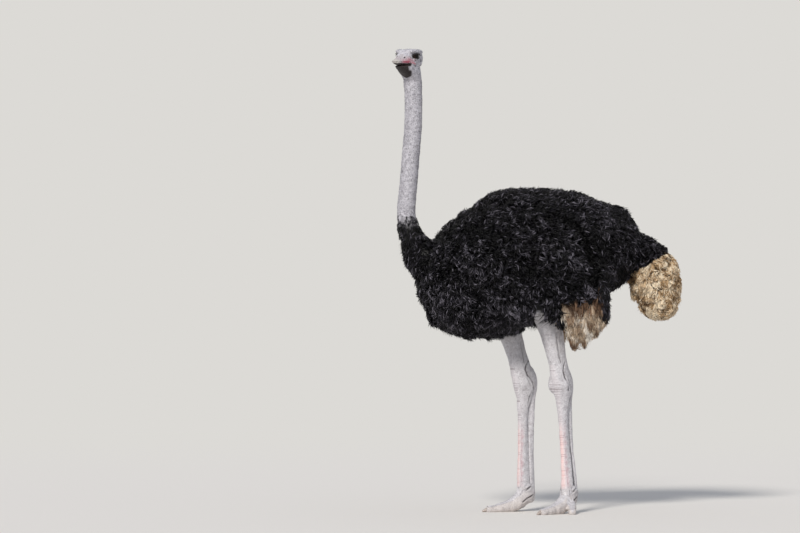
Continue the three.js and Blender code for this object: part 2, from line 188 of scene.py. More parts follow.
# ---- Mesh helpers ----
def loft(bm, rows, *, across, caps, rings, sides, plane=None, square=2.0, place=None):
    """Adds a closed tube. Rows are [t, x, y, z, half size along across, half size at right angles to it]."""
    at = track(rows)
    start, end = rows[0][0], rows[-1][0]
    made = bmesh.ops.create_grid(bm, x_segments=sides, y_segments=rings, size=1)["verts"]
    grid = np.array([v.co[:2] for v in made])
    angle = grid[:, 0] * math.pi
    # Rings crowd into the rounded ends, where the radius changes fast.
    share = (1 - np.cos((grid[:, 1] + 1) / 2 * math.pi)) / 2
    t = start + (end - start) * (0.35 * share + 0.65 * (grid[:, 1] + 1) / 2)
    fine = (end - start) * 1e-3
    values = at(t)
    step = at(np.clip(t + fine, start, end))[:, :3] - at(np.clip(t - fine, start, end))[:, :3]
    ahead = unit(np.broadcast_to(np.array(plane, float), step.shape) if plane is not None else step)
    wide = unit(np.array(across, float) - ahead * (ahead @ np.array(across, float))[:, None])
    tall = np.cross(ahead, wide)
    full = np.ones(len(t))
    for cap, depth in zip(caps, (t - start, end - t)):
        if cap:
            full *= np.sqrt(np.clip(1 - (1 - np.clip(depth / cap, 0, 1)) ** 2, 0, 1))
    bow = [np.sign(v) * np.abs(v) ** (2 / square) * full for v in (np.cos(angle), np.sin(angle))]
    points = values[:, :3] + wide * (bow[0] * values[:, 3])[:, None] + tall * (bow[1] * values[:, 4])[:, None]
    if place is not None:
        points = place(points)
    for v, p in zip(made, points):
        v.co = p
    bmesh.ops.remove_doubles(bm, verts=made, dist=1e-3)


def egg(bm, centre, radii, axes=np.eye(3), detail=(24, 16)):
    """Adds an egg shape whose half sizes lie along the axes."""
    turn = Matrix([[*(axes[k] * radii[k])] for k in range(3)]).transposed().to_4x4()
    bmesh.ops.create_uvsphere(
        bm, u_segments=detail[0], v_segments=detail[1], radius=1, matrix=Matrix.Translation(centre) @ turn
    )


def closed(bm):
    """Closes the ends of tubes and turns every face outwards."""
    bmesh.ops.dissolve_degenerate(bm, edges=bm.edges, dist=1e-4)
    bmesh.ops.holes_fill(bm, edges=[e for e in bm.edges if e.is_boundary], sides=0)
    bmesh.ops.recalc_face_normals(bm, faces=bm.faces)


def shown(name, data):
    """A new object in the scene."""
    made = bpy.data.objects.new(name, data)
    bpy.context.scene.collection.objects.link(made)
    return made


def object_from(bm, name):
    mesh = bpy.data.meshes.new(name)
    bm.to_mesh(mesh)
    bm.free()
    return shown(name, mesh)


def tree_of(obj):
    return BVHTree.FromObject(obj, bpy.context.evaluated_depsgraph_get())


def modified(obj, kind, **settings):
    """Adds a modifier and applies it."""
    modifier = obj.modifiers.new(kind.lower(), kind)
    for key, value in settings.items():
        setattr(modifier, key, value)
    graph = bpy.context.evaluated_depsgraph_get()
    mesh = bpy.data.meshes.new_from_object(obj.evaluated_get(graph))
    obj.modifiers.clear()
    old, obj.data = obj.data, mesh
    bpy.data.meshes.remove(old)
    return obj


def remeshed(obj, voxel):
    return modified(obj, "REMESH", mode="VOXEL", voxel_size=voxel, adaptivity=0)


def read(group, key, width):
    found = np.empty(len(group) * width, np.float32)
    group.foreach_get(key, found)
    return found.reshape(-1, width).astype(float) if width > 1 else found.astype(float)


def places(mesh):
    return read(mesh.vertices, "co", 3)


def outward(mesh):
    return read(mesh.vertex_normals, "vector", 3)


def set_places(mesh, points):
    mesh.vertices.foreach_set("co", np.ascontiguousarray(points, np.float32).ravel())
    mesh.update()


def set_value(mesh, key, values):
    made = mesh.attributes.new(key, "FLOAT", "POINT")
    made.data.foreach_set("value", np.asarray(values, np.float32))


def smooth_faces(mesh):
    mesh.polygons.foreach_set("use_smooth", np.ones(len(mesh.polygons), bool))


def relaxed(mesh, points, rounds, share=0.5):
    """Points drawn towards the middle of their neighbours, without shrinking on the whole."""
    ends = np.empty(len(mesh.edges) * 2, np.int32)
    mesh.edges.foreach_get("vertices", ends)
    a, b = ends.reshape(-1, 2).T
    count = np.bincount(np.concatenate([a, b]), minlength=len(points))[:, None].clip(1)
    for i in range(rounds * 2):
        total = np.zeros_like(points)
        for k, column in enumerate(points.T):
            total[:, k] = np.bincount(a, column[b], len(points)) + np.bincount(b, column[a], len(points))
        factor = share if i % 2 == 0 else -share * 1.03
        points = points + factor * (total / count - points)
    return points


def smoothed(obj, rounds, share=0.5):
    set_places(obj.data, relaxed(obj.data, places(obj.data), rounds, share))


def carve(mesh, points, strokes):
    """Cuts folds, each a line, a width and a depth, with soft lips. Also gives how deep each point is cut, by
    which the skin is painted darker as shade in the folds.
    """
    normal = outward(mesh)
    moved = np.zeros(len(points))
    for line, width, depth in strokes:
        line = np.asarray(line, float)
        low, high = line.min(0) - 5 * width, line.max(0) + 5 * width
        inside = np.flatnonzero(((points > low) & (points < high)).all(1))
        d = near_line(points[inside], line) / width
        moved[inside] += depth * (0.3 * bell(d - 1.9) - bell(d))
    return points + normal * moved[:, None], np.clip(-moved / 3.2, 0, 1)


def finished(obj, slot, *node_names):
    """Turns a piece from millimetres of the drawing into metres of the row frame and ties it to the model."""
    set_places(obj.data, (places(obj.data) + ORIGIN) * MM)
    obj.data.materials.clear()
    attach(obj, "root")
    if node_names:
        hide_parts(*node_names)
    return obj


# ---- Head and neck ----
# Rows are [order, x, z, radius], out of the breast and up to the head.
NECK = [
    (0, -400, 1120, 100),
    (1, -492, 1172, 86),
    (2, -562, 1232, 62),
    (3, -604, 1318, 46),
    (4, -620, 1416, 42.5),
    (5, -609, 1552, 41),
    (6, -597, 1702, 40.5),
    (7, -587, 1830, 40.5),
    (8, -586, 1960, 40.5),
    (9, -590, 2042, 42),
    (9.6, -592, 2090, 38),
]
# Rows are [x, top, bottom, half width] in the head's axes, from the nape forward.
SKULL = [
    (-46, 30, -20, 31),
    (-14, 46, -36, 42),
    (25, 50, -38, 46),
    (50, 50, -36, 44),
    (76, 44, -34, 40),
    (92, 35, -33, 38),
    (104, 26, -31, 34),
]
# Rows are [z, x, half length, half width], from the neck up into the skull.
THROAT = [
    (-112, -3, 39, 39),
    (-93, 4, 44, 41),
    (-72, 18, 57, 43),
    (-52, 36, 77, 43),
    (-34, 50, 93, 41),
    (-24, 52, 93, 39),
]
# Rows are [x, top, bottom, half width] of the closed bill, from inside the face to its tip.
BILL = [
    (80, 40, -33, 37),
    (98, 27.5, -33, 36.5),
    (118, 13, -31, 32.5),
    (138, 4, -27, 27.5),
    (157, -1, -22.5, 22.5),
    (172, -4.5, -18.5, 16.5),
]
MOUTH_Z = -12.0


def head_loft(bm, rows, **settings):
    loft(bm, rows, across=(0, 1, 0), place=from_head, **settings)


def add_head(bm):
    skull = [(x, x, 0, (top + low) / 2, half, (top - low) / 2) for x, top, low, half in SKULL]
    head_loft(bm, skull, plane=(1, 0, 0), caps=(26, 9), rings=40, sides=40, square=2.6)
    throat = [(z, x, 0, z, half, length) for z, x, length, half in THROAT]
    head_loft(bm, throat, plane=(0, 0, 1), caps=(4, 9), rings=24, sides=36)
    rows = [(t, x, 0, z, r, r) for t, x, z, r in NECK]
    loft(bm, rows, across=(0, 1, 0), caps=(0.3, 0.2), rings=90, sides=36)
    for s in (1, -1):
        egg(bm, from_head(eye_at(s)), (EYE_R + 1.8,) * 3, HEAD_AXES)
        for centre, radii in (
            ((54, 38, 38), (37, 15, 11)),  # brow
            ((12, 32, 36), (40, 16, 13)),  # the corner of the crown behind it
            ((62, 18, 36), (32, 18, 12)),  # forehead
            ((10, 36, -14), (26, 12, 20)),  # jaw muscle
            ((58, 34, -20), (28, 10, 9)),  # cheek over the gape
            ((30, 26, -46), (24, 16, 18)),  # throat
            ((96, 17, 18), (17, 13, 9)),  # soft skin over the bill's root
        ):
            egg(bm, from_head((centre[0], s * centre[1], centre[2])), radii, HEAD_AXES)


# The line of the mouth on the left side, in the head's axes.
GAPE = [
    (172, 0, -12),
    (166, 12, -12),
    (138, 26, -12),
    (110, 35, -12),
    (84, 42, -13),
    (64, 45.5, -17),
    (52, 46, -23),
]
# The folds of the left side: each a line, a width and a depth.
HEAD_FOLDS = [
    ([p for p in GAPE if p[0] < 112], 1.9, 3.2),
    ([(94, 41, -24), (68, 45, -31), (40, 46, -40), (14, 44, -54)], 2.4, 2.2),
    ([(60, 46, -2), (50, 48, -12), (36, 48, -22), (26, 46, -34)], 2.2, 2.8),
    ([(46, 46, -52), (34, 45, -60), (24, 44, -72)], 2.6, 1.8),
    ([(80, 36, -38), (52, 44, -50), (22, 46, -66)], 2.4, 1.5),
    ([(16, 49, -6), (30, 52, -16), (48, 52, -19), (66, 46, -12)], 1.8, 2.0),
    ([(10, 47, 2), (8, 46, 16), (18, 47, 29)], 2.0, 1.2),
    # Under the brow, and from the eye's inner corner down to the mouth.
    ([(34, 50, 31), (52, 51, 30), (74, 45, 25)], 2.0, 1.1),
    ([(68, 46, 19), (78, 43, 21), (90, 37, 22)], 1.8, 2.6),
    ([(94, 35, 14), (80, 42, 3), (66, 46, -8)], 2.2, 3.0),
    ([(-4, 44, -20), (-8, 42, -40), (-10, 40, -66)], 2.6, 1.2),
    # The ring of folded skin behind the corner of the mouth.
    ([(70, 43, -24), (88, 39, -24), (92, 38, -30), (84, 40, -36), (70, 43, -36),
      (64, 44, -30), (70, 43, -24)], 1.9, 2.4),
]


def mirrored(line, s):
    """A line of the head's left side, or the same line on its right."""
    return [(x, s * y, z) for x, y, z in line]


# From the middle of the open eye to its corners, its top and its bottom.
LID_WIDE, LID_RISE, LID_FALL = 22.5, 9.0, 10.5


def shape_lids(points):
    """Lids that stand round each eyeball, open in an almond, and the openings of the ears."""
    for s in (1, -1):
        local = to_head(points)
        rel, front, beside, above = round_eye(local, s)
        reach = np.linalg.norm(rel, axis=1)
        above = above + 0.10 * beside
        upper = above > 0
        oval = np.hypot(beside / LID_WIDE, np.where(upper, above / LID_RISE, above / LID_FALL))
        near = (reach < EYE_R + 9) & (front > 0)
        rim = bell((oval - 1.15) / 0.12) * (1.1 + 0.7 * upper)
        second = 0.9 * bell((oval - 1.62) / 0.12) - 0.9 * bell((oval - 1.42) / 0.09)  # a second fold of lid
        opened = smooth_step(1.0, 0.9, oval)
        target = (EYE_R + 1.7 + rim + second) * (1 - opened) + (EYE_R - 4) * opened
        hold = np.where(near, smooth_step(2.1, 1.6, oval), 0)
        goal = np.where((opened > 0) | (oval < 1.7), target, np.maximum(target, reach))
        wanted = eye_at(s) + unit(rel) * (reach + (goal - reach) * hold)[:, None]
        local = np.where(near[:, None], wanted, local)
        from_ear = np.linalg.norm((local - ear_at(s, 44)) * (1.25, 0.55, 0.95), axis=1)
        dip = 2.2 * bell((from_ear - 9.5) / 3.2) - 9 * bell(from_ear / 5.5)
        local[:, 1] += s * np.where(np.sign(local[:, 1]) == s, dip, 0)
        points = from_head(local)
    return points


def make_head():
    bm = bmesh.new()
    add_head(bm)
    closed(bm)
    made = remeshed(object_from(bm, "head_and_neck"), 4.0)
    smoothed(made, 7)
    bm = bmesh.new()
    bm.from_mesh(made.data)
    bm.verts.ensure_lookup_table()
    on_head = to_head(np.array([v.co for v in bm.verts]))[:, 2] > -66
    edges = [e for e in bm.edges if on_head[e.verts[0].index] and on_head[e.verts[1].index]]
    bmesh.ops.subdivide_edges(bm, edges=edges, cuts=1, use_grid_fill=True, smooth=0)
    bmesh.ops.triangulate(bm, faces=[f for f in bm.faces if len(f.verts) > 4])
    bm.to_mesh(made.data)
    bm.free()
    mesh = made.data
    set_places(mesh, shape_lids(relaxed(mesh, places(mesh), 2)))
    strokes = [
        (from_head(mirrored(line, s)), width, depth)
        for s in (1, -1)
        for line, width, depth in HEAD_FOLDS
    ]
    # How deep each fold is cut, which paints shade in the folds.
    points, fold = carve(mesh, places(mesh), strokes)
    points += outward(mesh) * (0.35 * noise(points, 9, 21) + 0.5 * noise(points, 22, 22))[:, None]
    set_places(mesh, points)
    set_value(mesh, "fold", fold)
    return made


# ---- Legs ----
def leg_frame(leg):
    """Unit vectors of a leg's foot: along its large toe, and to its outer side."""
    angle = math.radians(180 - leg["out"] * leg["turn"])
    ahead = np.array([math.cos(angle), math.sin(angle), 0.0])
    outer = leg["out"] * np.array([math.sin(angle), -math.cos(angle), 0.0])
    return ahead, outer


def leg_axis(leg, z):
    """The middle of a leg at the heights z, in the horizontal plane."""
    z = np.asarray(z, float)
    knee, hock, foot = (np.array(leg[k], float) for k in ("knee", "hock", "foot"))
    s = ((knee[2] - z) / (knee[2] - HOCK_Z))[..., None]
    t = ((HOCK_Z - z) / (HOCK_Z - FOOT_Z))[..., None]
    shank_top = hock + np.array([8, 0])
    upper = knee[:2] + (hock - knee[:2]) * s
    lower = shank_top + (foot - shank_top) * t
    blend = smooth_step(HOCK_Z - 40, HOCK_Z + 10, z)[..., None]
    return lower * (1 - blend) + upper * blend


def leg_point(leg, z, a, w):
    """A point a millimetres ahead of a leg's axis and w to its outer side."""
    ahead, outer = leg_frame(leg)
    x, y = leg_axis(leg, float(z))
    return np.array([x, y, z]) + ahead * a + outer * w


# Rows are [z, ahead, outward, half width, half depth].
SHIN = [
    (1180, 0, -20, 78, 104),
    (1075, 0, -8, 82, 110),
    (970, 0, 0, 74, 90),
    (890, 0, 0, 60, 66),
    (815, 0, 0, 48, 56),
    (743, 1, 0, 40, 49),
    (690, 1, 0, 38, 50),
    (650, 4, 0, 40, 55),
    (615, 8, 0, 41, 56),
    (575, 9, 0, 38, 48),
    (535, 9, 0, 31, 36),
    (495, 12, 0, 24, 26),
    (465, 14, 0, 20, 22),
]
SHAFT = [
    (600, 17, 0, 33, 33),
    (540, 17, 0, 28, 28),
    (450, 15, 0, 22, 22.5),
    (300, 15, 0, 20.5, 21),
    (180, 15, 0, 24, 23),
    (120, 12, 0, 31, 28),
    (88, 10, 0, 31, 28),
]
TENDONS = [
    (690, -38, 0, 15, 16),
    (640, -40, 0, 21, 22),
    (590, -34, 0, 19, 22),
    (530, -30, 0, 13, 16),
    (400, -27, 0, 9.5, 13),
    (250, -27, 0, 9.5, 13),
    (160, -25, 0, 12, 15),
    (110, -19, 0, 21, 24),
    (84, -15, 0, 22, 24),
]
BETWEEN = [(600, -4, 0, 14, 24), (450, -9, 0, 6, 17), (160, -9, 0, 6, 17), (100, -4, 0, 20, 24)]
# Rows are [along the toe, top, bottom, half width].
LARGE_TOE = [
    (-34, 112, 56, 29),
    (0, 116, 29, 34),
    (42, 88, 4, 34),
    (70, 62, -4, 31),
    (88, 52, -5, 31),
    (112, 42, -5, 27),
    (142, 35, -7, 28),
    (168, 28, -6, 23),
    (190, 25, -8, 22),
    (204, 22, -6, 18),
]
SMALL_TOE = [
    (-14, 84, 40, 18),
    (22, 66, 12, 21),
    (58, 42, -3, 19),
    (84, 34, -4, 17.5),
    (102, 30, -5, 17),
    (118, 24, -6, 13),
]
CLAW = [(164, 25, 5, 9.5), (190, 23, 3, 10.2), (206, 16, 1, 8.4), (221, 7, 0, 4)]
TOE_SPREAD = 46.0
TOE_SIDE = 14.0


def toe_axes(leg, turn, shift):
    """A toe's root on the floor, and unit vectors along it and across it."""
    ahead, outer = leg_frame(leg)
    c, s = math.cos(math.radians(turn)), math.sin(math.radians(turn))
    return np.array([*leg["foot"], 0.0]) + outer * shift, ahead * c + outer * s, outer * c - ahead * s


def add_toe(bm, leg, outline, turn, shift, caps, square=2.3, rings=30):
    root, along, wide = toe_axes(leg, turn, shift)
    rows = [
        (d, *(root + along * d)[:2], (top + low) / 2, half, (top - low) / 2)
        for d, top, low, half in outline
    ]
    loft(bm, rows, across=wide, plane=along, caps=caps, rings=rings, sides=28, square=square)


def make_leg(side, leg):
    ahead, outer = leg_frame(leg)
    axes = np.stack([ahead, outer, UPWARD])
    bm = bmesh.new()
    tubes = ((SHIN, (60, 14), 2.1), (SHAFT, (16, 16), 2.2), (TENDONS, (16, 16), 2), (BETWEEN, (10, 10), 2))
    for rows, caps, square in tubes:
        full = [(-z, *leg_point(leg, z, a, w), half, deep) for z, a, w, half, deep in rows]
        loft(bm, full, across=outer, plane=(0, 0, -1), caps=caps, rings=56, sides=30, square=square)
    for s in (1, -1):  # knuckles of the hock and of the foot joint
        egg(bm, leg_point(leg, 622, 8, s * 22), (26, 20, 34), axes)
        egg(bm, leg_point(leg, 606, 20, s * 18), (34, 26, 34), axes)
        egg(bm, leg_point(leg, 104, 2, s * 17), (30, 19, 30), axes)
    # The hock's inner knuckle is the larger one.
    egg(bm, leg_point(leg, 612, *leg["knob"]), (34, 28, 50), axes)
    foot = np.array([*leg["foot"], FOOT_Z - 4])
    egg(bm, foot - ahead * 2, (45, 34, 44), axes)
    egg(bm, foot - ahead * 14 - UPWARD * 26, (30, 28, 24), axes)  # heel pad, held clear of the floor
    add_toe(bm, leg, LARGE_TOE, 0, 0, (14, 14))
    add_toe(bm, leg, SMALL_TOE, TOE_SPREAD, TOE_SIDE, (8, 10))
    closed(bm)
    made = remeshed(object_from(bm, f"leg_{side}"), 4.5)
    mesh = made.data
    smoothed(made, 4)
    # How deep each fold is cut, which paints shade in the folds and the groove.
    points, fold = carve(mesh, places(mesh), leg_strokes(leg))
    low = 1 - smooth_step(60, 130, points[:, 2])
    uneven = (0.5 + 0.4 * low) * noise(points, 16, 31) + 0.9 * noise(points, 48, 32)
    points += outward(mesh) * uneven[:, None]
    points[:, 2] = np.maximum(points[:, 2], 0.0)  # flat soles
    set_places(mesh, points)
    set_value(mesh, "fold", fold)
    return made


def leg_strokes(leg):
    """Folds at the hock and the foot joint. A place is (height, degrees from the front outwards, radius)."""

    def on_leg(places_round, s=1):
        return [
            leg_point(leg, z, math.cos(math.radians(a)) * r + 4, s * math.sin(math.radians(a)) * r * 0.86)
            for z, a, r in places_round
        ]

    strokes = []
    for s in (1, -1):
        for line, width, depth in (
            # On the outer side the furrows lie further forward.
            ([(880, 76, 60), (800, 72, 52), (745, 67, 47), (712, 72, 45)] if s > 0 else
             [(880, 124, 60), (800, 120, 52), (740, 116, 46), (704, 108, 44)], 3.4, 2.6),
            ([(716, 108, 50), (694, 88, 46), (672, 75, 46), (646, 73, 47), (614, 76, 47), (578, 84, 44)]
             if s > 0 else
             [(712, 150, 50), (694, 118, 46), (672, 99, 45), (646, 100, 46), (614, 118, 46), (580, 134, 44)],
             3.4, 4.6),
            ([(646, 100, 46), (632, 90, 47), (612, 96, 46), (590, 112, 44)], 3.0, 2.2),
            ([(604, 100, 44), (592, 62, 50), (588, 20, 52)], 3.2, 1.6),
            ([(572, 126, 38), (548, 108, 36), (510, 100, 33)], 3.2, 3.4),
            ([(128, 150, 44), (118, 112, 42), (104, 84, 43), (94, 48, 46)], 3.8, 5.2),
            ([(88, 160, 46), (74, 122, 42), (62, 88, 42), (46, 62, 46)], 3.6, 5.0),
            ([(150, 100, 34), (142, 60, 40), (140, 20, 42)], 2.8, 1.3),
        ):
            strokes.append((on_leg(line, s), width, depth))
        # The groove between the bone and the tendon behind it, which widens downwards on the outer side. Its
        # depth also paints it dark as shade.
        upper = ((570, -14, 18), (480, -9, 13), (400, -10, 9))
        strokes.append(([leg_point(leg, z, a, s * w) for z, a, w in upper], 3.0, 3.0))
        groove = track([(-410, -10, 8, 3.6, 3.8), (-250, -12, 8, 9.0, 6.0), (-118, -11, 13, 13.5, 6.5)])
        for z in np.arange(406, 122, -12):
            a, w, width, depth = groove(-z)[0]
            span = [leg_point(leg, h, a, s * w) for h in (z, z - 12)]
            strokes.append((span, width if s > 0 else 4.2, depth * 0.8 if s > 0 else 3.0))
    own = np.random.default_rng(5)
    for z in np.arange(560, 715, 8.5):  # short cross folds on the front of the hock
        start, end = own.uniform(-54, -20), own.uniform(20, 54)
        line = [(z + own.uniform(-2, 2), a, 53) for a in (start, 0, end)]
        strokes.append((on_leg(line), 2.4, own.uniform(0.6, 1.3)))
    for z in np.arange(730, 900, 11.0):
        start = own.uniform(-80, 60)
        line = [(z + own.uniform(-4, 4), start + a, 55) for a in (0, 22, 44)]
        strokes.append((on_leg(line), 3.0, own.uniform(0.3, 0.8)))
    for z in np.arange(60, 112, 9.0):  # cross folds over the instep
        strokes.append((on_leg([(z, -44, 50), (z + 3, 0, 52), (z, 44, 50)]), 2.6, 0.8))
    return strokes


def make_scutes(side, leg, body):
    """Wide plates in a row down the front of the hock and shank and along the toes, each over the next."""
    bm = bmesh.new()
    layers = [bm.verts.layers.float.new(key) for key in ("flush", "band")]
    on_leg = tree_of(body)
    shaft = track([(-z, a, w, half, deep) for z, a, w, half, deep in SHAFT])
    own = np.random.default_rng(9)

    def plate(place, wide, flush):
        """Lays one plate on the leg. Its place gives a point outside the leg and one inside it."""
        made = bmesh.ops.create_grid(bm, x_segments=6, y_segments=2, size=1)
        # Each plate's upper edge, tucked under the plate above, is painted darker as shade.
        fade = own.uniform(0.05, 0.8)  # how little its upper edge is darkened
        for v in made["verts"]:
            u, t = v.co.x, (1 - v.co.y) / 2
            outside, inside = (Vector(p) for p in place(u * wide, t))
            hit, way, _, _ = on_leg.ray_cast(outside, (inside - outside).normalized())
            v.co = (hit or inside) + (way or Vector(UPWARD)) * (0.7 + 1.2 * t - 1.3 * u**4)
            v.co.z = max(v.co.z, 4)
            v[layers[0]], v[layers[1]] = flush * (1 - 0.85 * abs(u) ** 1.5), t + (1 - t) * fade
        faces = list({f for v in made["verts"] for f in v.link_faces})
        bmesh.ops.recalc_face_normals(bm, faces=faces)
        bmesh.ops.solidify(bm, geom=faces, thickness=1.3)

    z = 700.0
    while z > 122:
        tall = own.uniform(8.4, 10.4) if z < 560 else own.uniform(10.0, 12.5)
        slant = own.uniform(-1.0, 1.0)

        def on_shank(u, t, z=z, tall=tall, slant=slant):
            here = z - (tall + 2.2) * t - slant * u
            a, w, _, _ = shaft(-min(here, 600))[0]
            return [leg_point(leg, here, a + math.cos(u) * r, w + math.sin(u) * r) for r in (95, 0)]

        flush = float(smooth_step(105, 150, z) * (1 - 0.92 * smooth_step(330, 470, z)))
        plate(on_shank, 0.78 + 0.06 * math.sin(z / 23), flush * own.uniform(0.7, 1))
        z -= tall
    toes = ((LARGE_TOE, 0, 0, 6, 188), (SMALL_TOE, TOE_SPREAD, TOE_SIDE, 26, 108))
    for outline, turn, shift, first, last in toes:
        root, along, wide = toe_axes(leg, turn, shift)
        toe = track(outline)
        d = first
        while d < last:
            long = own.uniform(8.0, 10.0)

            def on_toe(u, t, d=d, long=long):
                here = d + (long + 2.0) * t
                top, low, _ = toe(here)[0]
                core = root + along * here + UPWARD * (top + low) / 2
                return [core + wide * math.sin(u) * r + UPWARD * math.cos(u) * r for r in (75, 0)]

            plate(on_toe, 0.72, 0)
            d += long
    for v in bm.verts:
        v.co.z = max(v.co.z, 0.5)
    return object_from(bm, f"scutes_{side}")


# ---- The body under the plumage, from copies of the solids ----
PLUMED = ["trunk", "wing_left", "wing_right", "tail_coverts", "neck_base"]


def outline_of(names, name, voxel, rounds):
    """The outline of these solids as one smooth body, in millimetres of the drawing."""
    bm = bmesh.new()
    for n in names:
        bm.from_mesh(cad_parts[n].data)
    bmesh.ops.remove_doubles(bm, verts=bm.verts, dist=1e-6)
    bmesh.ops.transform(bm, matrix=Matrix.Scale(1 / MM, 4), verts=bm.verts)
    bmesh.ops.translate(bm, vec=-Vector(ORIGIN), verts=bm.verts)
    made = remeshed(object_from(bm, name), voxel)
    smoothed(made, rounds, 0.6)
    return made


def sunk(obj, name, depth, voxel):
    """A copy of a body that lies deeper by depth, or by less where it is thin, and closes cleanly."""
    made = shown(name, obj.data.copy())
    points, normal = places(made.data), outward(made.data)
    tree = tree_of(made)
    far = 4 * depth
    reach = np.array([tree.ray_cast(p - n * 0.5, -n, far)[3] or far for p, n in zip(points, normal)])
    shift = np.minimum(depth, reach * 0.3)[:, None]
    for _ in range(3):
        shift = relaxed(made.data, shift, 2)
    for _ in range(4):
        points = relaxed(made.data, points - normal * shift / 4, 2)
        set_places(made.data, points)
        normal = outward(made.data)
    remeshed(made, voxel)
    smoothed(made, 6)
    return made


def thigh_gap(p, room=0):
    """Where the front of the left thigh shows between the wing and the belly, with room for tufts to lie."""
    ahead, up = p[:, 0], p[:, 2]
    return (p[:, 1] < -90) & (up > 862) & (up < 956 - 0.95 * (ahead + 46) + room) & (ahead > -58 - room / 2)


fleece = outline_of(PLUMED, "fleece_outline", 13.9, 5)
skin = sunk(fleece, "skin", 30.0, 20)
set_value(skin.data, "fold", np.zeros(len(skin.data.vertices)))
head_part = make_head()
leg_parts = {side: make_leg(side, leg) for side, leg in LEGS.items()}
for part in (head_part, *leg_parts.values()):
    modified(skin, "BOOLEAN", operation="UNION", object=part, solver="MANIFOLD")
smooth_faces(skin.data)

# Marks of the skin: where plumes cover it, where it is flushed red, and painted shade round the open eyes, in
# the ear openings and on the throat under the bill.
at_skin = places(skin.data)
fleece_tree = tree_of(fleece)
inside = np.zeros(len(at_skin))
for i, p in enumerate(at_skin):
    if 700 < p[2] < 1450:
        hit, way, _, _ = fleece_tree.find_nearest(p)
        inside[i] = -(Vector(p) - hit).dot(way)
NECK_LINE = 1400.0


def throat_shadow(p):
    """The bill's painted shadow on the bare throat: a patch under the bill that ends in a round point down
    the front.
    """
    ahead, up = p[:, 0], p[:, 2]
    edge = 42 + 0.25 * np.minimum(up + 20, 0) - 26 * smooth_step(-72, -92, up) + 3 * noise(p, 20, 23)
    side = smooth_step(edge + 2, edge - 4, np.abs(p[:, 1]))
    return side * smooth_step(-13, -19, up) * smooth_step(-94, -86, up) * smooth_step(22, 38, ahead)


neck_edge = NECK_LINE + 14 * noise(at_skin, 30, 3)
under_neck = smooth_step(neck_edge + 8, neck_edge - 8, at_skin[:, 2])
plumed = smooth_step(2, 9, inside) * np.where(at_skin[:, 0] < -520, under_neck, 1)
local = to_head(at_skin)
flush, rim = np.zeros(len(at_skin)), np.zeros(len(at_skin))
on_head = np.flatnonzero(local[:, 2] > -90)
for s in (1, -1):
    spot = local[on_head]
    flush[on_head] += 0.95 * bell(near_line(spot, mirrored(GAPE, s)) / 4.5)
    cheek = [(100, 34, 2), (86, 41, -2), (68, 47, -8)]
    flush[on_head] += 0.55 * bell(near_line(spot, mirrored(cheek, s)) / 7.0)
    rel, front, beside, above = round_eye(spot, s)
    oval = np.hypot(beside / 21.5, above / 12.0)
    by_eye = (front > 0) & (np.linalg.norm(rel, axis=1) < EYE_R + 6)
    # Painted shade round each open eye and in each ear opening.
    rim[on_head] += np.where(by_eye, smooth_step(1.34, 1.05, oval), 0)
    rim[on_head] += smooth_step(9, 4, np.linalg.norm(spot - ear_at(s), axis=1))
# The bill's shadow, painted dark on the throat.
shade = throat_shadow(local)
leg_part = 0.15 + 0.85 * smooth_step(1050, 950, at_skin[:, 2])
plumed = np.where(thigh_gap(at_skin), 0, plumed)
up = at_skin[:, 2]
for leg in LEGS.values():  # the front of each shank is flushed
    ahead, _ = leg_frame(leg)
    away = at_skin[:, :2] - leg_axis(leg, up)
    forward = away @ ahead[:2] + 5 * noise(at_skin, 18, 25)
    rosy = 0.3 * smooth_step(14, 34, forward) * smooth_step(105, 150, up) * smooth_step(460, 330, up)
    flush += np.where((up < 480) & (np.hypot(*away.T) < 70), rosy, 0)
for key, values in (("plumed", plumed), ("flush", flush), ("rim", rim), ("leg", leg_part), ("shade", shade)):
    set_value(skin.data, key, np.clip(values, 0, 1))


# ---- Plumes, locks and down ----
SHARE = 1.0  # of the tufts that are laid
PATCH = 0.003  # the width of a tuft on its map


def face_places(obj, jitter, share=1.0):
    """A place and a normal on every face of a body, or on a share of them, shifted a little at random."""
    centre, normal = read(obj.data.polygons, "center", 3), read(obj.data.polygons, "normal", 3)
    kept = rng.random(len(centre)) < share * SHARE
    centre, normal = centre[kept], normal[kept]
    slide = rng.uniform(-jitter, jitter, centre.shape)
    return centre + slide - normal * (slide * normal).sum(1)[:, None], normal


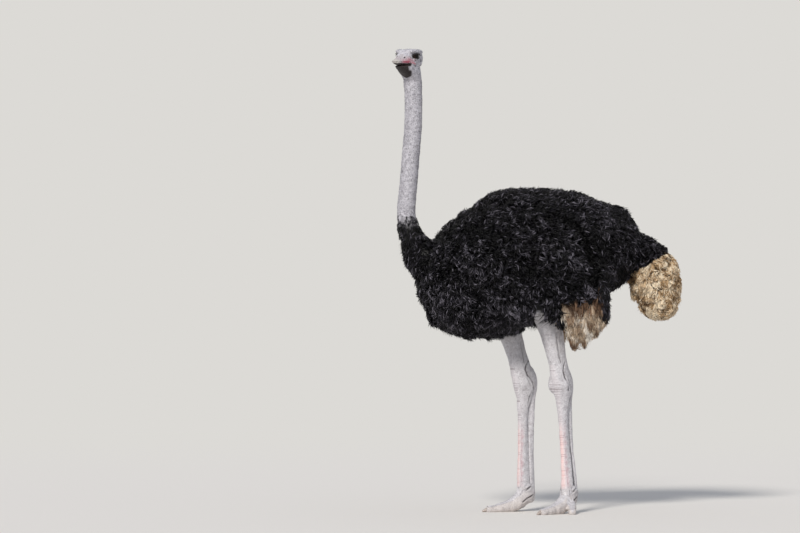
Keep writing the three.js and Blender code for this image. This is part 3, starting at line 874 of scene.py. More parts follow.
def tufts(name, place, normal, flow, length, width, depth, tone, *, lift, thick, curl, unwrap, barbs=4,
          rings=3, fan=1.2, droop=0.0, back=0.35, arch=0.0, clump=0.0, clump_of=12, shared=0.2, mottle=0.07,
          within=None):
    """One joined mesh of loose tufts, each of a few closed, pointed barbs, thicker and fewer than real ones.

    The tufts' places lie on the outline of the coat. A root sinks by depth under its place, and the tips lie
    along flow and stand lift proud, with a rise of arch on the way. Tips stay within a body, given as a tree
    of its faces and how far they may pass it. Lengths are millimetres of the drawing, one number or an array.
    """
    count = len(place)
    length, width, depth, tone, droop, lift, curl, thick = (
        np.broadcast_to(np.asarray(v, float), (count,))
        for v in (length, width, depth, tone, droop, lift, curl, thick)
    )
    flow = unit(flow - normal * (flow * normal).sum(1)[:, None])
    aside = np.cross(normal, flow)
    tip = place + flow * (length * (1 - back))[:, None]
    pull = np.zeros((count, 3))
    if clump and count > clump_of:  # tips are drawn to a leader's, which parts the coat into locks
        leaders = rng.choice(count, count // clump_of, replace=False)
        tree = KDTree(len(leaders))
        for i, k in enumerate(leaders):
            tree.insert(tip[k], i)
        tree.balance()
        nearest = leaders[[tree.find(t)[1] for t in tip]]
        pull = (tip[nearest] - tip) * clump
        tone = tone + shared * (tone[nearest] - tone)
    share = np.linspace(0, 1, rings + 2)[None]  # of the way from a barb's root to its tip
    wave = 1.3 * share * np.sin(4.2 * share)
    bow = arch * np.sin(share * 2.7)
    half = np.interp(share[0, 1:-1], [0, 0.4, 1], [0.7, 1.0, 0.45])
    if within:
        ends = tip + pull - UPWARD * (droop * length)[:, None]
        proud = np.broadcast_to(within[1], (count,))
        for i, end in enumerate(ends):
            hit, way, _, _ = within[0].find_nearest(end)
            pull[i] -= max(0.0, (Vector(end) - hit).dot(way) - proud[i]) * np.array(way)
    total = count * barbs
    each = np.repeat(np.arange(count), barbs)
    order = np.tile(np.linspace(-0.5, 0.5, barbs) if barbs > 1 else np.zeros(1), count)
    reach = length[each] * rng.uniform(0.68, 1.06, total)
    phase = rng.uniform(0, 6.28, count)[each] + rng.normal(0, 0.45, total)
    sway = (rng.uniform(0.35, 1.2, count) * curl)[each] * rng.uniform(0.7, 1.3, total)
    start = rng.uniform(-0.25, 0.25, total) * width[each] + order * width[each] * 0.4
    end = order * width[each] * fan + rng.normal(0, 0.16, total) * width[each]
    rise = lift[each] * rng.uniform(-0.4, 1.3, total)
    ahead = reach[:, None] * (share - back)
    up = -depth[each][:, None] * (1 - share) ** 1.6 + rise[:, None] * share
    up += bow * rng.uniform(0.5, 1.1, (total, 1))
    up += 0.6 * (np.sin(phase) * sway)[:, None] * wave
    side = start[:, None] + (end - start)[:, None] * share + (np.cos(phase) * sway)[:, None] * wave
    spine = place[each][:, None] + pull[each][:, None] * (share**2)[..., None]
    for way, far in ((flow, ahead), (normal, up), (aside, side)):
        spine = spine + way[each][:, None] * far[..., None]
    spine[..., 2] -= (droop[each] * reach)[:, None] * share**2
    spine[..., 2] = np.maximum(spine[..., 2], 3)
    # Rings of three points round the spine, flat as a barb is.
    run = unit(spine[:, 2:] - spine[:, :-2])
    lean = unit(normal[each] + 0.8 * rng.normal(size=(total, 3)))[:, None]
    wide = unit(np.cross(run, lean))
    size = (thick[each] * rng.uniform(0.7, 1.25, total))[:, None, None] * half[None, :, None]
    tall = np.cross(wide, run) * size * 0.5
    wide = wide * size
    rows = [spine[:, 0]]
    for k in range(rings):
        core, flat, thin = spine[:, k + 1], wide[:, k], tall[:, k]
        rows += [core - flat - thin * 0.6, core + flat - thin * 0.6, core + thin * 1.2]
    verts = np.stack([*rows, spine[:, -1]], 1)
    per_barb = verts.shape[1]
    last = per_barb - 1
    sides = ((0, 1), (1, 2), (2, 0))
    tris = [(0, 2, 1), (0, 3, 2), (0, 1, 3)] + [(last, last - 3 + i, last - 3 + j) for i, j in sides]
    quads = [(k + i, k + j, k + 3 + j, k + 3 + i) for k in range(1, 3 * rings - 2, 3) for i, j in sides]
    base = (np.arange(total) * per_barb)[:, None, None]
    three = (np.array(tris)[None] + base).reshape(-1, 3)
    four = (np.array(quads, int).reshape(1, -1, 4) + base).reshape(-1, 4)
    corner = np.concatenate([three.ravel(), four.ravel()]).astype(np.int32)
    starts = np.concatenate([np.arange(len(three)) * 3, three.size + np.arange(len(four)) * 4])
    mesh = bpy.data.meshes.new(name)
    mesh.vertices.add(total * per_barb)
    mesh.loops.add(len(corner))
    mesh.polygons.add(len(starts))
    mesh.loops.foreach_set("vertex_index", corner)
    mesh.polygons.foreach_set("loop_start", starts.astype(np.int32))
    set_places(mesh, verts.reshape(-1, 3))
    mesh.update(calc_edges=True)
    # Each tuft is a patch at its root on the unwrap of the body under it.
    level = np.concatenate([[0], np.repeat(share[0, 1:-1], 3), [1]])
    spread = np.concatenate([[0], np.tile([-0.5, 0.5, 0], rings), [0]])
    u, v = unwrap(place)
    patch = np.stack([
        u[each][:, None] + PATCH * (order[:, None] * 0.8 + spread[None] / barbs),
        v[each][:, None] + PATCH * (level[None] - 0.5) + 0 * order[:, None],
    ], -1).reshape(-1, 2)
    mesh.uv_layers.new(name="OFBake").data.foreach_set("uv", patch[corner].astype(np.float32).ravel())
    own = np.clip(tone[each] + rng.normal(0, mottle, total), 0, 1)
    set_value(mesh, "tone", np.repeat(own, per_barb))
    set_value(mesh, "along", np.tile(level, total))
    return shown(name, mesh)


def unwrapped(side, front, along, low, high):
    """An unwrap round an axis: the angle, and the share of the way along it from low to high."""
    share = np.clip((along - low) / (high - low), 0, 1)
    return 0.5 + 0.98 * np.arctan2(side, front) / 6.2832, 0.01 + 0.98 * share


def round_body(p):
    """The unwrap of the body round its long axis."""
    return unwrapped(p[:, 1], p[:, 2] - 1190, p[:, 0], -640, 640)


def upright(low, high, x, y=0.0):
    """The unwrap round an upright axis."""
    return lambda p: unwrapped(p[:, 1] - y, p[:, 0] - x, p[:, 2], low, high)


def fleece_flow(p):
    """The way that the plumes lie: back along the body, and down its sides, breast and rump."""
    down = (
        14
        + 62 * smooth_step(1400, 1060, p[:, 2])
        + 60 * smooth_step(180, 320, p[:, 0])
        + 62 * smooth_step(-320, -520, p[:, 0])
    )
    down = np.radians(np.clip(down, 0, 88))
    return np.stack([np.cos(down), 0.12 * np.sign(p[:, 1]) * np.sin(down), -np.sin(down)], 1)


def turned(flow, normal, degrees):
    """Directions turned in the plane of the surface."""
    a = np.radians(degrees)[:, None]
    flow = unit(flow - normal * (flow * normal).sum(1)[:, None])
    return flow * np.cos(a) + np.cross(normal, flow) * np.sin(a)


def split(chosen, order, room=3900):
    """Groups of places that are small enough for one piece."""
    chosen = chosen[np.argsort(order[chosen])]
    return np.array_split(chosen, max(1, math.ceil(len(chosen) / room)))


# The black fleece.
def crease(p):
    """How near a place is to the fold behind each wing, where the coat is parted."""
    flat = np.stack([p[:, 0], 0 * p[:, 0], p[:, 2]], 1)
    width = 12 + 0.04 * np.clip(1400 - p[:, 2], 0, 400)
    line = [(147, 0, 1363), (185, 0, 1288), (207, 0, 1235), (232, 0, 1140), (262, 0, 1060)]
    return bell(near_line(flat, line) / width)


place, normal = face_places(fleece, 6.5)
kept = ~((place[:, 2] > NECK_LINE - 14 + 20 * noise(place, 26, 3)) & (place[:, 0] < -480))
place, normal = place[kept], normal[kept]
x, y, z = place.T
on_neck = smooth_step(1240, 1350, z) * (x < -470)
parting = crease(place) * smooth_step(0.3, 0.6, np.abs(normal[:, 1]))
lump = np.clip(9 * noise(place, 120, 8) + 8 * noise(place, 52, 9), -18, 6)
lump = lump * (1 - 0.8 * on_neck) - 26 * parting
ragged = smooth_step(1010, 940, z) * smooth_step(0.1, -0.4, normal[:, 2]) * (x > -520) * (x < 300)
lump += 13 * ragged * np.clip(0.4 + noise(place * (1, 1, 0.3), 56, 15), 0, 1.3)
place = place + normal * lump[:, None]
flow = turned(fleece_flow(place), normal,
              26 * noise(place, 170, 4) + 20 * noise(place, 60, 5) + rng.normal(0, 36, len(place)))
under = smooth_step(-0.35, -0.8, normal[:, 2])
length = (43 + 8 * noise(place, 90, 6)) * (1 - 0.42 * on_neck)
width = 14.5 * (1 - 0.3 * on_neck)
depth = 24 * (1 - 0.6 * on_neck)
tone = 0.50 + 0.05 * noise(place, 210, 12) + 0.04 * noise(place, 48, 13) + rng.normal(0, 0.25, len(place))
# Painted shade: plumes darker in the parting behind each wing and where the coat is sunk.
tone -= 0.6 * parting + 0.02 * np.clip(-lump, 0, 16)
droop = 0.08 + 0.2 * under
region = np.select(
    [(x < -470) & (z > 1215), x > 428, x > 255, normal[:, 2] > 0.62, x < -330],
    ["neck_base", "tail_coverts", "rump", "back", "breast"], "flank",
)
# Behind the knee the lowest plumes of each wing are cream and brown, and in front of it the thigh is bare.
stray = 9 * noise(place, 26, 14)
share = smooth_step(58, 76, x + stray) * smooth_step(262, 246, x - stray) * smooth_step(1016, 990, z + stray)
pale = rng.random(len(x)) < share * (np.abs(y) > 140)
bare_thigh = thigh_gap(place, 24)
coat = []
for label in ("neck_base", "breast", "back", "flank", "rump", "tail_coverts"):
    for side, mark in (("left", -1), ("right", 1)):
        here = (region == label) & (np.where(y >= 0, 1, -1) == mark) & ~pale & ~bare_thigh
        parts = split(np.flatnonzero(here), x)
        for i, own in enumerate(parts):
            slim = on_neck[own]
            coat.append(tufts(
                f"plumage_{label}_{side}" + (f"_{i + 1}" if len(parts) > 1 else ""),
                *(v[own] for v in (place, normal, flow, length, width, depth, tone)), barbs=3, fan=1.0,
                lift=6 - 4 * slim, thick=2.8 - 1.4 * slim, curl=17 - 13 * slim, droop=droop[own],
                arch=3 if label == "neck_base" else 10, clump=0.25, clump_of=6, mottle=0.22,
                within=(fleece_tree, 7 + 28 * ragged[own]), unwrap=round_body,
            ))
# Loose locks along the lower edge of the wings, the belly and the breast.
hung = (z < 985) & (normal[:, 2] < 0.15) & (x > -500) & (x < 330) & ~pale & ~thigh_gap(place, 60)
hung = np.flatnonzero(hung & (rng.random(len(z)) < 0.2))
coat.append(tufts(
    "plumage_hanging_locks", place[hung], normal[hung], flow[hung] - 0.6 * UPWARD,
    rng.uniform(55, 92, len(hung)), 15, 18, tone[hung], lift=5, thick=2.4, curl=13, droop=0.2, back=0.4,
    clump=0.65, clump_of=14, within=(fleece_tree, 42.0), unwrap=round_body,
))

# The pale plumes under the wings: long straight barbs, cream inside and brown at the edges and tips, with
# the black coat over their roots and down their rear edge.
wing_coat, wing_roots = [], []
skirted = outline_of(PLUMED + ["wing_plumes_left", "wing_plumes_right"], "skirt_outline", 12.4, 4)
skirt_tree = tree_of(skirted)
for side, mark in (("left", -1), ("right", 1)):
    own = np.flatnonzero(pale & (np.sign(y) == mark))
    at, out = place[own], normal[own]
    tone_here = 0.62 + 0.25 * noise(at, 30, 55) - 0.45 * smooth_step(945, 985, z[own])
    tone_here += rng.normal(0, 0.16, len(own))
    down_back = turned(np.array([0.2, 0, -1]), out, 12 * noise(at, 50, 56) + rng.normal(0, 9, len(own)))
    wing_coat.append(tufts(
        f"wing_plumage_over_edge_{side}", at, out, down_back, rng.uniform(66, 86, len(own)), 15, 14,
        tone_here, lift=6, thick=2.0, barbs=5, curl=6, fan=1.0, droop=0.08, back=0.2, clump=0.4, clump_of=7,
        shared=0.7, within=(skirt_tree, 9.0), unwrap=round_body,
    ))
    finished(wing_coat[-1], "wing_plumes")
bpy.data.objects.remove(skirted)
for side, mark in (("left", -1), ("right", 1)):
    node = f"wing_plumes_{side}"
    hanging = outline_of([node], f"{node}_outline", 6.5, 2)
    roots = sunk(hanging, f"{node}_roots", 9, 5)
    hanging_tree = tree_of(hanging)
    place, normal = face_places(hanging, 3, 0.5)
    flow = turned(np.array([0.16, 0, -1]), normal, 16 * noise(place, 60, 51) + rng.normal(0, 8, len(place)))
    x, _, z = place.T
    rear = smooth_step(250, 264, x + 8 * noise(place, 30, 54))
    rear *= smooth_step(900, 925, z + 12 * noise(place, 20, 57))
    covered = np.maximum(smooth_step(1010, 1035, z + 22 * noise(place, 40, 53)), rear)
    tone = 0.70 + 0.34 * noise(place, 34, 52) + rng.normal(0, 0.15, len(place))
    tone -= 0.45 * smooth_step(940, 985, z) + 0.4 * smooth_step(845, 805, z)
    long = 58 + 30 * smooth_step(840, 900, z)
    is_dark = rng.random(len(place)) < covered
    hanging_tufts = dict(
        lift=4, fan=0.9, droop=0.05, clump=0.4, clump_of=9, within=(hanging_tree, 5.0),
        unwrap=upright(760, 1130, 190, mark * 230),
    )
    own = np.flatnonzero(is_dark)
    coat.append(tufts(
        f"plumage_over_wing_plumes_{side}", place[own], normal[own], flow[own], 50, 14, 8,
        rng.normal(0.5, 0.26, len(own)), thick=2.2, curl=11, shared=0.1, **hanging_tufts,
    ))
    own = np.flatnonzero(~is_dark)
    wing_coat.append(tufts(
        f"wing_plumage_{side}", place[own], normal[own], flow[own], long[own], 14, 8, tone[own],
        thick=1.7, curl=4, shared=0.7, **hanging_tufts,
    ))
    finished(wing_coat[-1], "wing_plumes")
    wing_roots.append(finished(roots, "wing_plumes", node))
    bpy.data.objects.remove(hanging)

# The tail: buff plumes, crumpled and matted into locks, over a mass of their own roots painted dark as the
# shade in the gaps.
tail = outline_of(["tail_plumes"], "tail_outline", 9.6, 3)
tail_roots = sunk(tail, "tail_roots", 26, 7)
place, normal = face_places(tail, 4)
flow = turned(np.stack([0.22 + 0 * place[:, 0], 0.1 * np.sign(place[:, 1]), -1 + 0 * place[:, 0]], 1), normal,
              40 * noise(place, 110, 41) + 40 * noise(place, 36, 42) + rng.normal(0, 24, len(place)))
dent = np.clip(9 * noise(place, 48, 43) + 7 * noise(place, 24, 48), -18, 6)
place = place + normal * dent[:, None]
tone = 0.82 + 0.08 * noise(place, 90, 44) + 0.2 * noise(place, 26, 45) + rng.normal(0, 0.24, len(place))
# Painted shade: plumes darker where the tail is dented in, and in patches that stand for deep gaps between
# locks.
tone += 0.03 * np.minimum(dent, 0) - 0.26 * smooth_step(0.5, 0.9, noise(place, 26, 46))
tail_tree = tree_of(tail)
tail_coat = []
for i, part in enumerate(split(np.arange(len(place)), place[:, 1], 3100)):
    tail_coat.append(tufts(
        f"tail_plumage_{i + 1}", place[part], normal[part], flow[part], 50, 12, 20, tone[part],
        lift=4, thick=2.1, curl=11, arch=7.0, droop=0.05, clump=0.6, clump_of=10, shared=0.7, mottle=0.16,
        within=(tail_tree, 8.0), unwrap=upright(880, 1240, 590),
    ))
finished(tail_roots, "tail_plumes", "tail_plumes")
for piece in tail_coat:
    finished(piece, "tail_plumes")

for piece in coat:
    finished(piece, "plumage")

# Short down and bristles on the neck and the head.
place, normal = face_places(head_part, 1.5)
local = to_head(place)
on_neck = smooth_step(-44, -104, local[:, 2])
on_crown = smooth_step(10, 30, local[:, 2]) * smooth_step(96, 84, local[:, 0])
kept = rng.random(len(place)) < 0.1 + 0.32 * on_crown + 0.4 * on_neck
kept &= (place[:, 2] > NECK_LINE - 30 + 26 * noise(place, 24, 61)) | (rng.random(len(place)) < 0.025)
kept &= (place[:, 2] > 1340) & (throat_shadow(local) < 0.2) & (local[:, 0] < 98)
kept &= np.abs(local[:, 2] - MOUTH_Z) > np.where(local[:, 0] > 40, 7, 0)
for s in (1, -1):
    kept &= np.linalg.norm(local - eye_at(s) - gaze(s) * 8, axis=1) > 27
    kept &= np.linalg.norm(local - ear_at(s), axis=1) > 8
place, normal, local, on_neck = place[kept], normal[kept], local[kept], on_neck[kept]
back_down = -AHEAD * 1.0 - UPWARD * 0.25
flow = back_down + on_neck[:, None] * (np.array([0.1, 0, -1.0]) - back_down)
flow = turned(flow, normal, rng.normal(0, 24, len(place)))
on_crown = smooth_step(10, 30, local[:, 2])
tone = 0.5 + 0.16 * on_crown + 0.16 * noise(place, 40, 62) + rng.normal(0, 0.32, len(place))
length = (5 - 1.5 * on_crown + 4 * on_neck) * rng.uniform(0.7, 1.3, len(place))
down = []
for i, part in enumerate(split(np.arange(len(place)), place[:, 2], 7500)):
    down.append(tufts(
        f"down_{i + 1}", place[part], normal[part], flow[part], length[part], length[part] * 0.5, 1.2,
        tone[part], lift=(0.9 - 0.4 * on_crown + 0.7 * on_neck)[part], thick=(0.5 + 0.35 * on_neck)[part],
        curl=0.7, barbs=2, rings=1, fan=1.6, mottle=0.25, unwrap=upright(1300, 2200, -600),
    ))
    finished(down[-1], "skin")

# Lashes along the upper lids, and stiff hairs round the ears.
hairs = []
for side, s in (("left", 1), ("right", -1)):
    by_eye = upright(2100, 2200, *from_head(eye_at(s))[:2])
    turn = np.radians(np.linspace(12, 172, 34))
    aside = np.cross(gaze(s), UPWARD) * s
    rise = np.cross(aside, gaze(s)) * s
    rise = rise * np.sign(rise[2])
    aside = aside * np.sign(aside[0])
    rim_at = eye_at(s) + unit(
        gaze(s) * 0.78 + aside * (np.cos(turn) * 0.70)[:, None] + rise * (np.sin(turn) * 0.50)[:, None]
    ) * (EYE_R + 2.6)
    way = gaze(s) * 0.9 + aside * (np.cos(turn) * 0.55)[:, None] + rise * 0.34
    hairs.append(tufts(
        f"lashes_{side}", from_head(rim_at), np.repeat([UPWARD], len(turn), 0), way @ HEAD_AXES, 15, 2.2, 0,
        0.3, lift=2.5, thick=0.34, curl=0.6, barbs=2, rings=2, droop=0.22, back=0.06, unwrap=by_eye,
    ))
    turn = np.radians(np.linspace(0, 340, 22))
    rim_at = ear_at(s, 43.5) + np.stack([np.cos(turn) * 7, 0 * turn, np.sin(turn) * 9.5], 1)
    way = -AHEAD - UPWARD * 0.4 + rng.normal(0, 0.4, rim_at.shape)
    hairs.append(tufts(
        f"ear_hairs_{side}", from_head(rim_at), np.repeat([LEFTWARD * s], len(turn), 0), way, 13, 3, 1,
        0.4, lift=3, thick=0.35, curl=1.2, barbs=2, rings=2, unwrap=by_eye,
    ))
for piece in hairs:
    finished(piece, "plumage")


# ---- Bill, eyes and claws ----
def make_bill():
    """The bill's two halves, which meet along the mouth, with a nail at the tip and nostrils in grooves."""
    halves = []
    for name, sign in (("upper", 1), ("lower", -1)):
        bm = bmesh.new()
        shrink = 0 if sign > 0 else 1.3
        rows = [
            (x, x - shrink * 1.6 * (x > 150), 0, (top + low) / 2, half - shrink, (top - low) / 2)
            for x, top, low, half in BILL
        ]
        loft(bm, rows, across=(0, 1, 0), plane=(1, 0, 0), caps=(0, 13), rings=40, sides=48, square=2.25)
        closed(bm)
        cut = bmesh.ops.bisect_plane(
            bm, geom=bm.verts[:] + bm.edges[:] + bm.faces[:], plane_co=(0, 0, MOUTH_Z + sign * 0.4),
            plane_no=(0, 0, -sign), clear_outer=True,
        )
        rim = [e for e in cut["geom_cut"] if isinstance(e, bmesh.types.BMEdge)]
        bmesh.ops.holes_fill(bm, edges=rim, sides=0)
        made = remeshed(object_from(bm, f"bill_horn_{name}"), 1.4)
        mesh = made.data
        points = relaxed(mesh, places(mesh), 2)
        set_places(mesh, points)
        normal = outward(mesh)
        px, py, pz = points.T
        rim_z = np.abs(pz - MOUTH_Z)
        swell = 0.9 * bell((rim_z - 2.6) / 1.8) * (np.abs(py) > 4)  # a thick lip along the edge
        nail = smooth_step(136, 152, px) * smooth_step(15, 12, np.abs(py))
        if sign > 0:
            ridge = smooth_step(12.5, 9.5, np.abs(py)) * smooth_step(96, 108, px) * (normal[:, 2] > 0.1)
            swell += 1.3 * np.maximum(ridge, nail * (normal[:, 2] > -0.2))
            for s in (1, -1):
                groove = near_line(points, mirrored([(98, 20, 22), (118, 20.5, 9), (140, 17, 1)], s))
                slit = near_line(points, mirrored([(110, 22.5, 11), (121, 22, 6)], s))
                swell -= 1.6 * bell(groove / 3.6) + 4.2 * bell(slit / 2.2) - 0.9 * bell((slit - 4.6) / 1.6)
        else:
            swell += nail * (normal[:, 2] < -0.1) - bell((np.abs(py) - 13) / 1.6) * smooth_step(140, 120, px)
        swell += 0.25 * noise(points, 6, 71) + 0.3 * noise(points * (0.35, 1, 1), 5, 72)
        points = points + normal * swell[:, None]
        set_places(mesh, points)
        line = np.minimum(near_line(points, GAPE), near_line(points, mirrored(GAPE, -1)))
        flushed = bell(line / 4.5) * smooth_step(164, 120, px)
        flushed += 0.3 * smooth_step(124, 96, px) * smooth_step(18, 0, pz)
        flushed += 0.25 * smooth_step(8, -2, pz) * smooth_step(160, 130, px)
        set_value(mesh, "flush", np.clip(flushed, 0, 1))
        set_value(mesh, "tip", smooth_step(150, 168, px))
        # The underside of the lower half, painted dark as shade.
        set_value(mesh, "shade", smooth_step(-16, -20, pz + 0.6 * noise(points, 8, 24)))
        # The nostril slits, painted dark as shade.
        slits = [near_line(points, mirrored([(110, 21, 9.5), (121, 20.5, 4.5)], s)) for s in (1, -1)]
        set_value(mesh, "hollow", smooth_step(3.4, 1.6, np.minimum(*slits)) if sign > 0 else 0 * px)
        set_places(mesh, from_head(points))
        smooth_faces(mesh)
        halves.append(finished(made, "horn", f"bill_{name}"))
    return halves


def make_eye(side, s):
    bm = bmesh.new()
    egg(bm, (0, 0, 0), (EYE_R,) * 3, detail=(56, 40))
    made = object_from(bm, f"eyeball_{side}")
    points = places(made.data)
    off = np.degrees(np.arccos(np.clip(unit(points) @ gaze(s), -1, 1)))
    set_value(made.data, "off_axis", off / 90)
    points = points + unit(points) * (1.1 * smooth_step(44, 18, off))[:, None]  # the cornea stands proud
    set_places(made.data, from_head(points + eye_at(s)))
    smooth_faces(made.data)
    return finished(made, "eye", f"eye_{side}")


def make_claw(side, leg):
    bm = bmesh.new()
    add_toe(bm, leg, CLAW, 0, 0, (4, 7), square=2.2, rings=22)
    closed(bm)
    made = object_from(bm, f"nail_{side}")
    points = places(made.data)
    points[:, 2] = np.maximum(points[:, 2], 0)
    set_places(made.data, points)
    smooth_faces(made.data)
    return finished(made, "claw", f"claw_{side}")


bill = make_bill()
eyes = [make_eye(side, s) for side, s in (("left", 1), ("right", -1))]
claws = [make_claw(side, leg) for side, leg in LEGS.items()]
scutes = [finished(make_scutes(side, leg, leg_parts[side]), "leg_skin") for side, leg in LEGS.items()]
bare_nodes = ["head", "ear_left", "ear_right", "neck_upper", "neck_middle"]
for part in ("thigh", "shin", "hock", "shank", "foot", "toe_large", "toe_small"):
    bare_nodes += [f"{part}_left", f"{part}_right"]
finished(skin, "skin", *PLUMED, *bare_nodes)
for spare in (fleece, tail, head_part, *leg_parts.values()):
    bpy.data.objects.remove(spare)


# ---- Materials ----
def linear(code):
    """An sRGB hex colour as linear RGBA."""
    parts = [int(code[i : i + 2], 16) / 255 for i in (1, 3, 5)]
    return (*[c / 12.92 if c <= 0.04045 else ((c + 0.055) / 1.055) ** 2.4 for c in parts], 1)


def add_node(tree, kind, inputs=None, **settings):
    """Adds a node. Inputs are values, hex colours, or the nodes or sockets that they are linked from."""
    made = tree.nodes.new("ShaderNode" + kind)
    for key, value in settings.items():
        if key == "stops":
            while len(made.color_ramp.elements) < len(value):
                made.color_ramp.elements.new(0.5)
            for element, (at, colour) in zip(made.color_ramp.elements, value):
                element.position, element.color = at, linear(colour)
        else:
            setattr(made, key, value)
    for key, value in (inputs or {}).items():
        socket = next((s for s in made.inputs if s.identifier == key), None) or made.inputs[key]
        if isinstance(value, bpy.types.Node):
            value = next(s for s in value.outputs if s.enabled)
        if isinstance(value, bpy.types.NodeSocket):
            tree.links.new(value, socket)
        else:
            socket.default_value = linear(value) if isinstance(value, str) else value
    return made


def material(name, pieces):
    """Gives pieces a new material, and returns the function that adds nodes to it."""
    made = bpy.data.materials.new(name)
    made.use_nodes = True
    made.node_tree.nodes.clear()
    for piece in pieces:
        piece.data.materials.append(made)
    return partial(add_node, made.node_tree)


# Bare skin: blotches of 20 mm that break up finely, and dark specks where down grows out of it, drawn 4 mm
# wide so that they show, and fainter on the head. On the legs it is paler, netted with scales of 4 mm, and
# dusty at the feet.
add = material("bare_skin", [skin])
where = add("TexCoord").outputs["Object"]
height = add("SeparateXYZ", {"Vector": where}).outputs["Z"]
marks = {
    key: add("Attribute", attribute_name=key).outputs["Fac"]
    for key in ("leg", "shade", "fold", "flush", "rim", "plumed")
}
blotch = add("TexNoise", {"Vector": where, "Scale": 55, "Detail": 8, "Roughness": 0.75})
colour = add("ValToRGB", {"Fac": blotch}, stops=[(0.3, "#9a97a0"), (0.5, "#b8b5bc"), (0.72, "#d3d1d7")])
pores = add("TexVoronoi", {"Vector": where, "Scale": 125})
specks = add("ValToRGB", {"Fac": pores}, stops=[(0.16, "#5d5860"), (0.44, "#ffffff")])
strong = add("MapRange", {"Value": height, "From Min": 1.99, "From Max": 2.07, "To Min": 0.9, "To Max": 0.2})
paler = add("ValToRGB", {"Fac": blotch}, stops=[(0.32, "#bab5b8"), (0.5, "#d6d3d6"), (0.7, "#e9e7ea")])
net = add("TexVoronoi", {"Vector": where, "Scale": 260}, feature="DISTANCE_TO_EDGE")
lines = add("ValToRGB", {"Fac": net}, stops=[(0.0, "#8f898d"), (0.09, "#ffffff")])
low = add("MapRange", {"Value": height, "From Min": 0.13, "From Max": 0.03, "To Min": 0.0, "To Max": 0.55})
dust = add("Math", {0: low, 1: blotch}, operation="MULTIPLY")
# The throat's shade mark is the bill's painted shadow, the fold mark paints shade in the cut folds and
# creases, and the rim mark paints shade round the eyes and in the ear openings.
for share, above, blend in (
    (strong, specks, "MULTIPLY"),
    (marks["leg"], paler, "MIX"),
    (marks["leg"], lines, "MULTIPLY"),
    (dust, "#c8b6a2", "MIX"),
    (marks["shade"], "#241b1a", "MIX"),
    (marks["fold"], "#3a3235", "MIX"),
    (marks["flush"], "#b03d52", "MIX"),
    (marks["rim"], "#2b2425", "MIX"),
    (marks["plumed"], "#0b0a0b", "MIX"),
):
    inputs = {"Factor_Float": share, "A_Color": colour, "B_Color": above}
    colour = add("Mix", inputs, data_type="RGBA", blend_type=blend)
scales = add("Math", {0: net, 1: marks["leg"]}, operation="MULTIPLY")
bump = add("Bump", {"Height": scales, "Strength": 0.5, "Distance": 0.003})
drawn = add("Mapping", {"Vector": where, "Scale": (1, 1, 3.4)})
wrinkles = add("TexNoise", {"Vector": drawn, "Scale": 130, "Detail": 3})
bump = add("Bump", {"Height": wrinkles, "Strength": 0.5, "Distance": 0.003, "Normal": bump})
shader = add("BsdfPrincipled", {"Base Color": colour, "Roughness": 0.62, "Normal": bump})
add("OutputMaterial", {"Surface": shader})


def barb_material(name, pieces, root, roughness, stops, gloss=0.3):
    """Barbs whose colour runs from a dark root, painted shade among the crowded roots, to a tone of their own
    at the tip.
    """
    add = material(name, pieces)
    tone, along = (add("Attribute", attribute_name=key).outputs["Fac"] for key in ("tone", "along"))
    tip = add("ValToRGB", {"Fac": tone}, stops=stops)
    share = add("MapRange", {"Value": along, "From Min": 0.05, "From Max": 0.6})
    colour = add("Mix", {"Factor_Float": share, "A_Color": root, "B_Color": tip}, data_type="RGBA")
    inputs = {"Base Color": colour, "Roughness": roughness, "Specular IOR Level": gloss}
    add("OutputMaterial", {"Surface": add("BsdfPrincipled", inputs)})


# Black plumes: barbs without hooks, so they hang apart and curl. Each takes the light on its own, and a share
# of them is painted grey as glints, which gives a fleece of short glints over a deep black.
barb_material("black_plumes", coat, "#020203", 0.42, gloss=0.19,
              stops=[(0.15, "#020204"), (0.45, "#0b0a0e"), (0.75, "#2e2c33"), (1.0, "#716d76")])
# Buff plumes: dull and stained by dust, straw at the tips, and painted brown as shade between the locks.
barb_material("buff_plumes", tail_coat, "#2e2018", 0.7,
              stops=[(0.0, "#3d2c1e"), (0.3, "#866a4c"), (0.6, "#c9a77d"), (1.0, "#ffeed2")])
# Wing plumes: off-white barbs with brown edges and tips.
barb_material("wing_plumes", wing_coat, "#3c2a1f", 0.65,
              stops=[(0.0, "#33221a"), (0.3, "#7d5f49"), (0.6, "#c6b096"), (1.0, "#f4ece0")])
# Down: fine pale bristles over grey skin, which gives the neck its speckle.
barb_material("pale_down", down, "#918d94", 0.6, stops=[(0.0, "#575259"), (0.4, "#aeaab1"), (1.0, "#eeecf0")])
# Lashes and ear hairs: stiff, dark and a little glossy.
barb_material("dark_hair", hairs, "#0c0908", 0.4, stops=[(0.0, "#0c0908"), (1.0, "#2a211d")])

# The matted roots under the buff plumes: brown fibres seen only in the gaps, painted dark as the shade in
# them.
add = material("plume_roots_and_gap_shade", (tail_roots, *wing_roots))
drawn = add("Mapping", {"Vector": add("TexCoord").outputs["Object"], "Scale": (5, 5, 1)})
fibres = add("TexNoise", {"Vector": drawn, "Scale": 60, "Detail": 3})
colour = add("ValToRGB", {"Fac": fibres}, stops=[(0.35, "#2a1b11"), (0.65, "#6b4c30")])
bump = add("Bump", {"Height": fibres, "Strength": 0.8, "Distance": 0.006})
shader = add("BsdfPrincipled", {"Base Color": colour, "Roughness": 0.85, "Normal": bump})
add("OutputMaterial", {"Surface": shader})
for piece in (tail_roots, *wing_roots):
    smooth_faces(piece.data)
